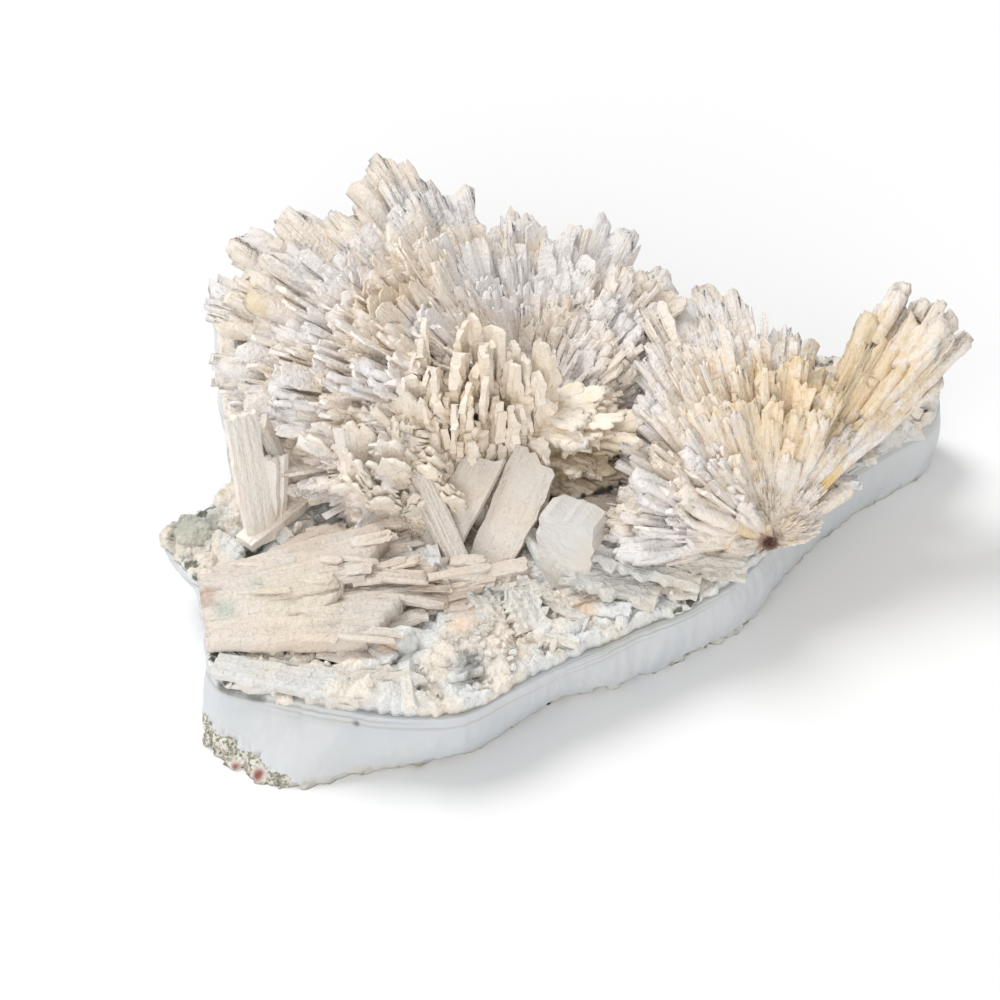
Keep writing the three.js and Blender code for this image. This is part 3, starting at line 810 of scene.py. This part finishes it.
def druse(name, pale, cream, hollow, spots=()):
    """Druse, a crust of crystals a millimetre or two across: sugary and white on its crests, grey-green
    and dark in the hollows between them, where the rock shows through. Light goes a few millimetres in."""
    material, tree = new_material(name)
    place = add(tree, "ShaderNodeTexCoord", output="Object")
    tip = add(tree, "ShaderNodeAttribute", output="Fac", attribute_name="tip")
    cloud, mottle = (
        add(tree, "ShaderNodeTexNoise", {"Vector": place, "Scale": per_metre(size), "Detail": 4.0})
        for size in (CRUST_CLOUD, CRUST_MOTTLE)
    )
    sugar = add(tree, "ShaderNodeTexVoronoi", {"Vector": place, "Scale": per_metre(SUGAR)}, "Distance")
    colour = turned(tree, cloud, 0.4, 0.6, pale, cream)
    colour = stained(tree, place, mottle, colour, spots)
    low = add(tree, "ShaderNodeMath", {0: mottle, 1: 0.8, 2: tip}, operation="MULTIPLY_ADD")
    low = add(tree, "ShaderNodeMath", {0: cloud, 1: 0.5, 2: low}, operation="MULTIPLY_ADD")
    colour = turned(tree, low, 0.74, 0.52, colour, hollow)
    relief = add(tree, "ShaderNodeMath", {0: sugar, 1: -0.8, 2: mottle}, operation="MULTIPLY_ADD")
    glow = {"Subsurface Weight": 0.4, "Subsurface Radius": (1.0, 1.0, 1.0), "Subsurface Scale": 0.003}
    broken_stone(tree, colour, 0.5, relief, 0.7, 0.0008, glow)
    return material


def chalcedony(name, pale, white, foot, matrix, spots):
    """Chalcedony, quartz in fibres too fine to see, broken with a waxy, shell-like surface: bluish white
    with soft clouds about 3 cm across, hair-thin bands along its upper edge, and a crumbly foot with a
    dirty edge. Light goes a few millimetres in. Grains of the dark rock it grew on still cling to it
    around the matrix's centres."""
    material, tree = new_material(name)
    place = add(tree, "ShaderNodeTexCoord", output="Object")
    depth = add(tree, "ShaderNodeAttribute", output="Fac", attribute_name="depth")
    cloud, crumb = (
        add(tree, "ShaderNodeTexNoise", {"Vector": place, "Scale": per_metre(size), "Detail": detail})
        for size, detail in ((SLAB_CLOUD, 3.0), (CRUMB, 5.0))
    )
    shape = (per_metre(BAND_LENGTH), per_metre(BAND_LENGTH), per_metre(BAND_GAP))
    squash = add(tree, "ShaderNodeMapping", {"Vector": place, "Scale": shape})
    layers = add(tree, "ShaderNodeTexNoise", {"Vector": squash, "Scale": 1.0, "Detail": 3.0})
    colour = turned(tree, cloud, 0.35, 0.65, pale, white)
    band, upper = (
        add(
            tree, "ShaderNodeMapRange", {"Value": value, "From Min": low, "From Max": high},
            interpolation_type="SMOOTHSTEP",
        )
        for value, low, high in ((layers, 0.52, 0.42), (depth, 0.26, 0.06))
    )
    band = add(tree, "ShaderNodeMath", {0: band, 1: upper}, operation="MULTIPLY")
    banded = {"Fac": band, "Color1": colour, "Color2": hex_colour("#b9b9b4")}
    colour = add(tree, "ShaderNodeMixRGB", banded)
    low = add(tree, "ShaderNodeMath", {0: crumb, 1: 0.5, 2: depth}, operation="MULTIPLY_ADD")
    colour = turned(tree, low, 1.12, 1.2, colour, foot)
    colour = turned(tree, low, 1.3, 1.36, colour, hex_colour("#a09d8f"))
    grains = add(tree, "ShaderNodeTexVoronoi", {"Vector": place, "Scale": per_metre(ROCK_GRAIN)}, "Color")
    rock = turned(tree, grains, 0.25, 0.75, hex_colour("#85826f"), hex_colour("#dad6ca"))
    for centre, radius in matrix:
        away = ragged_distance(tree, place, crumb, centre, radius)
        colour = turned(tree, away, radius * MM * 1.85, radius * MM * 1.75, colour, rock)
    colour = stained(tree, place, crumb, colour, spots)
    relief = add(tree, "ShaderNodeMath", {0: band, 1: 0.4, 2: crumb}, operation="MULTIPLY_ADD")
    glow = {"Subsurface Weight": 0.5, "Subsurface Radius": (0.8, 0.9, 1.0), "Subsurface Scale": 0.004}
    broken_stone(tree, colour, 0.4, relief, 0.25, 0.0008, glow)
    return material


def plain_floor(name):
    """Matte white paper, which takes a soft shadow and shows no gloss."""
    material, tree = new_material(name)
    paper = {"Base Color": hex_colour("#f1f1f1"), "Roughness": 0.8}
    add(tree, "ShaderNodeOutputMaterial", {"Surface": add(tree, "ShaderNodeBsdfPrincipled", paper)})
    return material


# ------------------------------------------------------------------ slab and crust


def smooth_outline(count):
    """A closed curve through the outline's points: each stretch is a Catmull-Rom cubic."""
    place = np.arange(count) / count * len(OUTLINE)
    index = np.floor(place).astype(int)
    t = (place - index)[:, None]
    a, b, c, d = (OUTLINE[(index + k) % len(OUTLINE)] for k in (-1, 0, 1, 2))
    return 0.5 * (2 * b + (c - a) * t + (2 * a - 5 * b + 4 * c - d) * t**2 + (3 * b - a - 3 * c + d) * t**3)


def lean_at(bearing):
    """How far the slab's side stands out at its foot: a sum of bell curves of bearing."""
    total = np.zeros_like(bearing)
    for middle, spread, lean in LEANS:
        off = np.mod(bearing - middle + 180, 360) - 180
        total += lean * np.exp(-((off / spread) ** 2))
    return total


def slab_surface():
    """The slab as one closed grid: round its outline, and from the middle of its top, over the rim,
    down the side and back to the middle of its foot. Radial push = lean x depth^1.5 + bow x sin(pi
    depth) + shallow shells broken out of it, deepest at the middle of a cell + waves and upright flutes,
    which are noise stretched along Z + chips near the foot."""
    around, down = 1100, 36
    rim = smooth_outline(around)
    top_shares = np.array([0.0, 0.4, 0.75, 0.9, 0.96, 0.985])
    foot_shares = np.array([0.985, 0.95, 0.8, 0.5, 0.0])
    depth = np.concatenate([np.zeros(len(top_shares)), np.linspace(0, 1, down), np.ones(len(foot_shares))])
    share = np.concatenate([top_shares, np.ones(down), foot_shares])
    share = np.maximum(share, 0.001)
    radius = np.linalg.norm(rim, axis=1)
    bearing = np.degrees(np.arctan2(rim[:, 1], rim[:, 0]))
    push = lean_at(bearing)[None] * depth[:, None] ** 1.5 + SIDE_BOW * np.sin(np.pi * depth)[:, None]
    flat = rim[None] * share[:, None, None] * (1 + push / radius)[..., None]
    height = np.broadcast_to((SLAB_TOP * (1 - depth))[:, None], flat.shape[:2])
    points = np.concatenate([flat, height[..., None]], -1)
    outward = unit(rim)[None]
    shell, _, _ = cells(points * (1, 1, 0.6), SHELL_SIZE, 3)
    waves = shell**2 * 2.2 - 0.8
    for stretch, size, rise, seed in SIDE_WAVES:
        waves = waves + grain(points * (1, 1, stretch), size, seed) * rise
    crumble = ease((depth - 0.8) / 0.2)[:, None]
    chips, chip, _ = cells(points, CHIP_SIZE, 5)
    rough = (chip - 0.6) * 2.6 - chips**2 * 1.2 + grain(points, CHIP_SIZE / 2, 6) * 0.5
    for centre, radius in MATRIX:
        near = ease(1.6 - np.linalg.norm(points - np.array(centre), axis=-1) / radius)
        crumble = np.maximum(crumble, near)
    on_side = (share >= 1)[:, None]
    move = np.where(on_side, waves + crumble * rough, crumble * rough)
    points[..., :2] += outward * move[..., None] * share[:, None, None]
    attributes = {"depth": np.broadcast_to(depth[:, None], flat.shape[:2]).ravel()}
    return points.reshape(-1, 3), closed_tube(len(share), around), attributes


def crust_height(points):
    """The crust's height over the slab's plan: the mean height, swells, and broken crystals of three
    sizes, each a cell with its own height whose flat top slopes its own way."""
    flat = points * (1, 1, 0)
    height = CRUST_TOP - 1.4 + grain(flat, 16.0, 23) * 1.2
    for cell, rise, slope, seed in CRUST_CRYSTALS:
        distance, owner, way = cells(flat, cell, seed)
        turn = owner * 200
        height = height + owner * rise + (way[..., 0] * np.cos(turn) + way[..., 1] * np.sin(turn)) * slope
        height = height - distance**3 * rise * 0.5
    return np.maximum(height, SLAB_TOP + 1.2)


def crust_surface():
    """The crust as one closed grid over the slab: its top follows crust_height, its ragged edge
    hangs down to the slab, and its underside is flat."""
    around, across = 960, 96
    rim = smooth_outline(around)
    radius = np.linalg.norm(rim, axis=1)
    edge3 = np.concatenate([rim, np.zeros((around, 1))], 1)
    inset = CRUST_INSET + grain(edge3, 6.0, 31) * 1.2 + grain(edge3, 2.0, 32) * 0.9
    edge = rim * (1 - inset / radius)[:, None]
    share = np.concatenate([np.linspace(0.001, 1, across) ** 0.7, [1.0, 1.0, 0.001]])
    flat = edge[None] * share[:, None, None]
    points = np.concatenate([flat, np.zeros(flat.shape[:2] + (1,))], -1)
    top = crust_height(points)
    drop = np.concatenate([np.ones(across - 1), [0.7, 0.35, 0, 0]])
    low = SLAB_TOP + GAP
    points[..., 2] = low + (top - low) * drop[:, None]
    height = (top - CRUST_TOP) * drop[:, None] * 0.3 + 0.5
    attributes = {"tip": height.ravel(), "tone": np.full(height.size, 0.5), "streak": points.reshape(-1, 3)}
    return points.reshape(-1, 3), closed_tube(len(share), around), attributes


def plan_points(count, inset, rng):
    """Random points on the crust, in the drawing: a random point of the rim drawn in towards the
    middle by the square root of a random share, so that they are spread evenly."""
    rim = smooth_outline(400)
    pick = rng.integers(0, len(rim), count)
    pull = np.sqrt(rng.random(count)) * (1 - inset / np.linalg.norm(rim[pick], axis=1))
    flat = np.concatenate([rim[pick] * pull[:, None], np.zeros((count, 1))], 1)
    flat[:, 2] = crust_height(flat)
    return flat


# ------------------------------------------------------------------ operators


class AddSlab(bpy.types.Operator):
    """Add the chalcedony slab"""

    bl_idname = "specimen.add_slab"
    bl_label = "Slab"

    def execute(self, context):
        colours = context.scene.specimen_colours
        first, second = (-93.4, -88.2, 1.5), (-87, -91, 1.5)  # the two red spots, with their white rings
        spots = (
            (first, 3.0, "#ece4dc", 1.0), (first, 2.0, "#8c5149", 1.0),
            (second, 3.2, "#ece4dc", 1.0), (second, 2.2, "#8c5149", 1.0),
            ((-58.5, -87.5, 19), 1.6, "#5f6266", 0.9), ((-41.4, -85.5, 1), 2.6, "#8a765a", 0.9),
        )
        # Painted shadow: a row of dark spots along the crack, where the crust's edge throws shade.
        places = np.array(CRACK_SHADOW_START) + np.arange(CRACK_SHADOW_STEPS)[:, None] * np.array(CRACK_SHADOW_STEP)
        crack_shadow = tuple((tuple(place), 1.7, "#64655f", 0.6) for place in places)
        white, foot = hex_colour("#d0d2d3"), hex_colour("#cccbc3")
        stone = chalcedony("broken chalcedony", colours.chalcedony, white, foot, MATRIX, spots + crack_shadow)
        place_piece("slab", slab_surface(), stone, "chalcedony_slab", smooth=True)
        return {"FINISHED"}


class AddCrust(bpy.types.Operator):
    """Add the drusy crust, the ledges and the small crystals strewn on it"""

    bl_idname = "specimen.add_crust"
    bl_label = "Crust"

    def execute(self, context):
        sizes = context.scene.specimen_sizes
        colours = context.scene.specimen_colours
        spots = (
            ((-28, -58, 28), 6, "#e2bf9c", 0.6), ((-50, -66, 28), 4, "#dcb48c", 0.6),
            ((-27, -72, 25), 7, "#7b7c78", 0.8), ((6, -50, 27), 5, "#dcb48c", 0.5),
            ((-110, -14, 26), 12, "#989d8f", 0.7), ((-86, -73, 24), 5, "#6c6e66", 0.6),
        )
        cream, hollow = hex_colour("#e9dfd1"), hex_colour("#74766a")
        sugar = druse("drusy quartz", colours.druse, cream, hollow, spots)
        place_piece("crust", crust_surface(), sugar, "drusy_crust", smooth=True)
        rng = np.random.default_rng(SEEDS["crust"])
        roots = plan_points(sizes.druse_crystals, 3.0, rng) - (0, 0, 1.0)
        count = len(roots)
        bearing, elevation = rng.uniform(0, 360, count), rng.uniform(5, 85, count)
        length = rng.uniform(2, 5, count) ** 1.1
        rows = single_rows(roots, bearing, elevation, length, (1, 2.6), (0.8, 2), rng)
        place_piece("druse_crystals", laths(rows, rng), sugar, "drusy_crust")
        lumps = joined(*(lump(centre, half, 70 + k) for k, (centre, half) in enumerate(LUMPS)))
        place_piece("lumps", lumps, sugar, "drusy_crust", smooth=True)
        places = plan_points(sizes.shards, 13.0, rng) - (0, 0, 1.0)
        count = len(places)
        shards = table(
            rng.uniform(0, 360, count), rng.uniform(-4, 18, count), rng.uniform(8, 22, count),
            rng.uniform(3, 7, count), rng.uniform(1.8, 4, count),
        )
        rows = raised(plate_rows(places, shards, 1, rng, 0.0, 0.95, wobble=40), 0.9, 0.2)
        shards = plates(rows, rng, 6, 6, ridge=0.15, grit=0.15, stagger=0.2, rounding=0.1, thin=0.3)
        place_piece("shards", shards, sugar, "drusy_crust")
        rows = book_rows(LEDGES + FRONT_BOOKS, 2, rng, 0.0, 0.9, wobble=8, shrink=0.3, fan=0.06)
        ledges = plates(
            raised(rows, 0.9, 0.2), rng, 12, 16, ridge=0.3, grit=0.4, stagger=0.7, rounding=0.1, thin=0.6,
            edge=0.3,
        )
        pale, white = hex_colour("#ece5da"), hex_colour("#e8e6e2")
        stone = quartz("white quartz ledge", pale, white, colours.tan, colours.root_shade, 0.0)
        place_piece("ledges", ledges, stone, "drusy_crust")
        return {"FINISHED"}


class AddRosette(bpy.types.Operator):
    """Add the great rosette"""

    bl_idname = "specimen.add_rosette"
    bl_label = "Great rosette"

    def execute(self, context):
        sizes = context.scene.specimen_sizes
        colours = context.scene.specimen_colours
        rng = np.random.default_rng(SEEDS["rosette"])
        node = "great_rosette"
        spots = (
            ((-54, 33, 82), 14, "#e8cfae", 0.55), ((-96, 40, 68), 9, "#dcc48e", 0.5),
            ((-25, 2, 60), 7, "#8f6a42", 0.55), ((3, 41, 72), 8, "#dcb88a", 0.5),
            # The brown spot among the shelves: partly a real stain, partly painted shade of the hollow
            # beneath them.
            ((9, 6, 40), 16, "#b89c70", 0.4), ((-40, -8, 45), 22, "#e2d6c2", 0.6),
        )
        pale, cream, tan, root_shade = colours.lavender, colours.cream, colours.tan, colours.root_shade
        stone = quartz("lavender quartz", pale, cream, tan, root_shade, 0.42, spots)
        spread = spread_bundles(
            GREAT_ROSETTE, sizes.rosette_bundles, (12, 21), (2.6, 4.6), rng, short=0.8
        )
        rightward = np.cos(np.radians(spread[:, 0] - 40))
        spread[:, 3] *= 1 - 0.35 * ease(0.5 + rightward)
        spread[:, 3] *= 1 - 0.45 * ease((spread[:, 1] - 40) / 20)
        bundles = np.concatenate([spread, np.array(ROSETTE_BUNDLES, float)])
        quarter = np.floor(np.mod(bundles[:, 0], 360) / 90)
        for which, side in enumerate(("back_right", "back_left", "front_left", "front_right")):
            part = bundles[quarter == which]
            part = np.concatenate([part, tufts(part, 4, rng)])
            wobble = np.where(np.sin(np.radians(part[:, 0])) > 0.4, 18, 45)
            start = rng.uniform(0.3, 0.6, (len(part), 1))
            rows = plate_rows(GREAT_ROSETTE["focus"], part, 1, rng, start, flare=0.5, wobble=wobble)
            blades = plates(rows, rng, 9, 9, ridge=0.35, grit=0.25, stagger=0.6, rounding=0.15)
            place_piece("rosette_" + side, blades, stone, node, smooth=True)
        place_piece("rosette_heart", heart(GREAT_ROSETTE, 0.85, 0.16, 2.8, 12), stone, node)
        rows = flake_rows(
            GREAT_ROSETTE, sizes.rosette_flakes, (0.82, 0.97), (12, 26), (3, 8), (1.0, 1.8), rng, 50
        )
        place_piece("rosette_flakes", plates(rows, rng, 5, 5, grit=0.25, stagger=0.5), stone, node)
        return {"FINISHED"}


class AddColumn(bpy.types.Operator):
    """Add the upright column and the shelves in front of the rosette's middle"""

    bl_idname = "specimen.add_column"
    bl_label = "Column and shelves"

    def execute(self, context):
        colours = context.scene.specimen_colours
        rng = np.random.default_rng(SEEDS["column"])
        node = "great_rosette"
        spots = (
            ((-25, 2, 58), 7, "#94703f", 0.6), ((8, 4, 42), 20, "#efd6ac", 0.45),
            # The brown spot among the shelves: partly a real stain, partly painted shade of the hollow
            # beneath them.
            ((6, 4, 32), 9, "#b58c58", 0.5),
        )
        pale, cream = hex_colour("#fff6e9"), hex_colour("#fff3e2")
        stone = quartz(
            "cream quartz column", pale, cream, colours.tan, colours.root_shade, 0.15, spots, bumps=0.0006
        )
        rows = book_rows(TONGUES, 4, rng, 0.1, 0.8, wobble=20, shrink=0.5)
        tongues = plates(rows, rng, 10, 16, grit=0.35, step=0.6, stagger=0.6, edge=0.3)
        place_piece("tongues", tongues, stone, node, smooth=True)
        mass = joined(*(lump(centre, half, 90 + k, 2.2, 90, 70) for k, (centre, half) in enumerate(MASS)))
        place_piece("cream_mass", mass, stone, node)
        low, high, bearings = SHELF_SPREAD
        count = context.scene.specimen_sizes.shelves
        roots = rng.uniform(low, high, (count, 3))
        tilt = (roots[:, 2] - low[2]) * 0.9 + rng.uniform(-4, 4, count)
        shelves = table(
            rng.uniform(*bearings, count), tilt, rng.uniform(16, 30, count), rng.uniform(7, 12, count),
            rng.uniform(1.6, 3.2, count),
        )
        rows = plate_rows(roots, shelves, 1, rng, 0.0, 0.8, wobble=12, fan=0.1)
        shelves = plates(rows, rng, 9, 12, grit=0.3, step=0.5, stagger=0.7, edge=0.25)
        place_piece("shelves", shelves, stone, node, smooth=True)
        fin_rows = []
        for depth, length in COLUMN_ROWS:
            across = np.arange(*COLUMN_SPAN, COLUMN_SPACING) + rng.uniform(-1, 1)
            count = len(across)
            places = table(across, depth + rng.uniform(-1.5, 1.5, count), SEAT)
            fins = table(
                270 + (across - np.mean(COLUMN_SPAN)) * 1.5, rng.uniform(76, 88, count),
                length * rng.uniform(0.75, 1.12, count), rng.uniform(6, 10, count),
                rng.uniform(1.8, 3, count),
            )
            fin_rows.append(plate_rows(places, fins, 1, rng, 0.0, 0.9, roll=90, wobble=30, fan=0.04))
        column = plates(
            stacked(*fin_rows), rng, 7, 18, ridge=0.3, grit=0.3, step=0.4, stagger=0.5, thin=0.0, edge=0.2
        )
        place_piece("column", column, stone, node)
        return {"FINISHED"}


class AddYellowSpray(bpy.types.Operator):
    """Add the yellow-stained spray"""

    bl_idname = "specimen.add_yellow_spray"
    bl_label = "Yellow spray"

    def execute(self, context):
        sizes = context.scene.specimen_sizes
        colours = context.scene.specimen_colours
        rng = np.random.default_rng(SEEDS["yellow spray"])
        node = "yellow_spray"
        focus = YELLOW_SPRAY["focus"]
        spots = (
            ((66, 0, 66), 26, "#f0d095", 0.5), ((90, 18, 60), 25, "#dfc391", 0.7),
            ((62, -18, 33), 21, "#e9dccb", 0.75), ((62, -24, 30), 4.5, "#94695a", 0.85),
        )
        # Here the tan colour is the painted shade at the blades' roots.
        pale, cream, stain, root_shade = colours.cream, colours.lavender, colours.yellow, colours.tan
        stone = quartz("yellow quartz", pale, cream, stain, root_shade, 0.42, spots)
        spread = spread_bundles(YELLOW_SPRAY, sizes.yellow_bundles, (6, 12), (2.6, 4.6), rng, short=0.66)
        low, high = np.array(FINGER_SPREAD, float)
        fingers = rng.uniform(low, high, (sizes.fingers, 5))
        bundles = np.concatenate([spread * (1, 1, 0.95, 1, 1), np.array(YELLOW_BUNDLES, float)])
        start = rng.uniform(0.04, 0.2, (len(bundles), 1))
        rows = plate_rows(focus, bundles, 1, rng, start, flare=0.25, wobble=18)
        start = rng.uniform(0.15, 0.5, (len(bundles) * 4, 1))
        inner = plate_rows(focus, tufts(bundles, 4, rng), 1, rng, start, flare=0.4, wobble=30)
        start = rng.uniform(0.65, 0.8, (len(fingers), 1))
        outer = plate_rows(focus, fingers, 1, rng, start, flare=0.7, wobble=70, fan=0.12)
        blades = plates(stacked(inner, outer), rng, 8, 9, ridge=0.35, grit=0.2, stagger=0.4, rounding=0.4)
        place_piece("yellow_spray_tufts", blades, stone, node, smooth=True)
        blades = plates(rows, rng, 10, 12, ridge=0.35, grit=0.2, stagger=0.55, rounding=0.3)
        place_piece("yellow_spray_plates", blades, stone, node, smooth=True)
        place_piece("yellow_spray_heart", heart(YELLOW_SPRAY, 0.55, 0.2, 2.4, 24), stone, node)
        rows = flake_rows(
            YELLOW_SPRAY, sizes.yellow_flakes, (0.3, 0.9), (12, 30), (2.5, 6), (1.0, 1.8), rng, 45
        )
        place_piece("yellow_spray_flakes", plates(rows, rng, 5, 5, grit=0.25, stagger=0.5), stone, node)
        return {"FINISHED"}


class AddLyingFan(bpy.types.Operator):
    """Add the low fan at the front left, and the flakes that lie on it"""

    bl_idname = "specimen.add_lying_fan"
    bl_label = "Lying fan"

    def execute(self, context):
        colours = context.scene.specimen_colours
        rng = np.random.default_rng(SEEDS["lying fan"])
        spots = (
            ((-88, -49, 40), 5, "#a9c0b0", 0.6), ((-97, -56, 34), 4, "#a9c0b0", 0.6),
            ((-102, -52, 32), 5, "#a67c64", 0.6), ((-76, -54, 36), 16, "#eadbbb", 0.35),
        )
        pale, cream = hex_colour("#e4d5c6"), hex_colour("#e5dcd1")
        stone = quartz(
            "cream quartz plate", pale, cream, colours.tan, colours.root_shade, 0.0, spots, pits=0.1,
            bumps=0.0007,
        )
        rows = book_rows(FAN_BOOKS, 1, rng, 0.0, 0.8, wobble=5, shrink=0.4, fan=0.1, slant=0.12)
        fan = plates(
            raised(rows, 0.5), rng, 18, 18, ridge=0.24, grit=0.1, step=0.25, stagger=0.16, rounding=0.04,
            thin=0.8, edge=0.05,
        )
        place_piece("lying_fan_plates", fan, stone, "lying_fan", smooth=True)
        count = context.scene.specimen_sizes.fan_flakes
        roots = fan[0][rng.integers(len(fan[0]), size=count)] - (0, 0, 0.5)
        flakes = table(
            rng.uniform(-14, 20, count), rng.uniform(-2, 8, count), rng.uniform(6, 20, count),
            rng.uniform(2, 6, count), rng.uniform(0.8, 1.7, count),
        )
        rows = raised(plate_rows(roots, flakes, 1, rng, 0.0, 0.8, wobble=15, fan=0.1), 0.5)
        flakes = plates(rows, rng, 7, 8, ridge=0.25, grit=0.2, step=0.3, stagger=0.5, edge=0.1)
        place_piece("lying_fan_flakes", flakes, stone, "lying_fan")
        return {"FINISHED"}


class AddLoneBlades(bpy.types.Operator):
    """Add the blades that stand by themselves"""

    bl_idname = "specimen.add_lone_blades"
    bl_label = "Lone blades"

    def execute(self, context):
        colours = context.scene.specimen_colours
        stains = (colours.tan, colours.root_shade, 0.0)
        cream = quartz(
            "cream quartz blade", hex_colour("#e9ddcf"), hex_colour("#eae2d8"), *stains, pits=0.06
        )
        pale = quartz(
            "pale quartz blade", hex_colour("#fbf0e3"), hex_colour("#fbf5ed"), *stains, pits=0.06,
            bumps=0.0006,
        )
        clear = quartz(
            "clear quartz", hex_colour("#e6e2de"), hex_colour("#e8e1d7"), *stains, roughness=0.4, lines=0.1,
            pits=0.1, bumps=0.0004,
        )
        groups = (
            ("left_blades", LEFT_BLADES, 2, 0.07, pale),
            ("pillar_blades", PILLAR_BLADES, 2, 0.07, pale),
            ("crossed_blades", CROSSED_BLADES, 2, 0.07, cream),
            ("block_crystal", BLOCK_CRYSTAL, 1, 0.03, clear),
        )
        for number, (node, blades, layers, ridge, stone) in enumerate(groups):
            rng = np.random.default_rng(SEEDS["lone blades"] + number)
            rows = stacked(*(
                plate_rows(
                    root, np.array([rest], float), layers, rng, 0.0, 0.9, roll, wobble=0, shrink=0.1,
                    fan=0.02, slant=0.08, loose=0.08,
                )
                for root, *rest, roll in blades
            ))
            detail = plates(
                raised(rows, 0.6), rng, 10, 12, ridge, ridge / 2, ridge * 2, stagger=ridge * 2,
                rounding=0.06, thin=0.25, edge=0.04,
            )
            place_piece(node + "_detail", detail, stone, node)
        return {"FINISHED"}


class AddStage(bpy.types.Operator):
    """Add the floor, the light and the camera"""

    bl_idname = "specimen.add_stage"
    bl_label = "Stage"

    def execute(self, context):
        stage = context.scene.specimen_stage
        mesh = bpy.data.meshes.new("floor")
        half = FLOOR_HALF
        corners = [(-half, -half, 0), (half, -half, 0), (half, half, 0), (-half, half, 0)]
        mesh.from_pydata(corners, [], [(0, 1, 2, 3)])
        floor = bpy.data.objects.new("floor", mesh)
        context.scene.collection.objects.link(floor)
        floor.data.materials.append(plain_floor("white paper"))
        lamps = (
            ("overhead softbox", stage.key, 28, (-0.55, 0.4, 1.0)),
            ("front softbox", stage.front, 60, (-0.25, -1.0, 0.4)),
        )
        for name, strength, breadth, direction in lamps:
            lamp = bpy.data.lights.new(name, "SUN")
            lamp.energy = strength
            lamp.angle = math.radians(breadth)
            light = bpy.data.objects.new(name, lamp)
            light.rotation_euler = Vector(direction).to_track_quat("Z", "Y").to_euler()
            context.scene.collection.objects.link(light)
        world = bpy.data.worlds.new("white surroundings")
        world.use_nodes = True
        background = world.node_tree.nodes["Background"]
        background.inputs["Color"].default_value = (1, 1, 1, 1)
        background.inputs["Strength"].default_value = stage.fill
        context.scene.world = world
        target = Vector(np.array(CAMERA_TARGET) * MM + SHIFT)
        back = Vector((0, -math.cos(stage.elevation), math.sin(stage.elevation)))
        lens = bpy.data.cameras.new("camera")
        lens.lens = stage.lens
        lens.sensor_width = 36
        lens.clip_start = 0.01
        camera = bpy.data.objects.new("camera", lens)
        camera.location = target + back * stage.distance
        camera.rotation_euler = back.to_track_quat("Z", "Y").to_euler()
        context.scene.collection.objects.link(camera)
        context.scene.camera = camera
        context.scene.view_settings.view_transform = "Standard"
        return {"FINISHED"}


OPERATORS = (AddStage, AddSlab, AddCrust, AddRosette, AddColumn, AddYellowSpray, AddLyingFan, AddLoneBlades)


class SpecimenPanel(bpy.types.Panel):
    """The specimen's operators and settings"""

    bl_idname = "VIEW3D_PT_specimen"
    bl_label = "Quartz specimen"
    bl_space_type = "VIEW_3D"
    bl_region_type = "UI"
    bl_category = "Specimen"

    def draw(self, context):
        scene = context.scene
        for settings in (scene.specimen_sizes, scene.specimen_colours, scene.specimen_stage):
            for title in settings.__annotations__:
                self.layout.prop(settings, title)
        for operator in OPERATORS:
            self.layout.operator(operator.bl_idname)


CLASSES = (SpecimenSizes, SpecimenColours, StageSettings, *OPERATORS, SpecimenPanel)


def register():
    for kind in CLASSES:
        bpy.utils.register_class(kind)
    bpy.types.Scene.specimen_sizes = PointerProperty(type=SpecimenSizes)
    bpy.types.Scene.specimen_colours = PointerProperty(type=SpecimenColours)
    bpy.types.Scene.specimen_stage = PointerProperty(type=StageSettings)


def unregister():
    del bpy.types.Scene.specimen_sizes
    del bpy.types.Scene.specimen_colours
    del bpy.types.Scene.specimen_stage
    for kind in reversed(CLASSES):
        bpy.utils.unregister_class(kind)


def main():
    register()
    bpy.ops.specimen.add_stage()
    bpy.ops.specimen.add_slab()
    bpy.ops.specimen.add_crust()
    bpy.ops.specimen.add_rosette()
    bpy.ops.specimen.add_column()
    bpy.ops.specimen.add_yellow_spray()
    bpy.ops.specimen.add_lying_fan()
    bpy.ops.specimen.add_lone_blades()


if __name__ == "__main__":
    main()
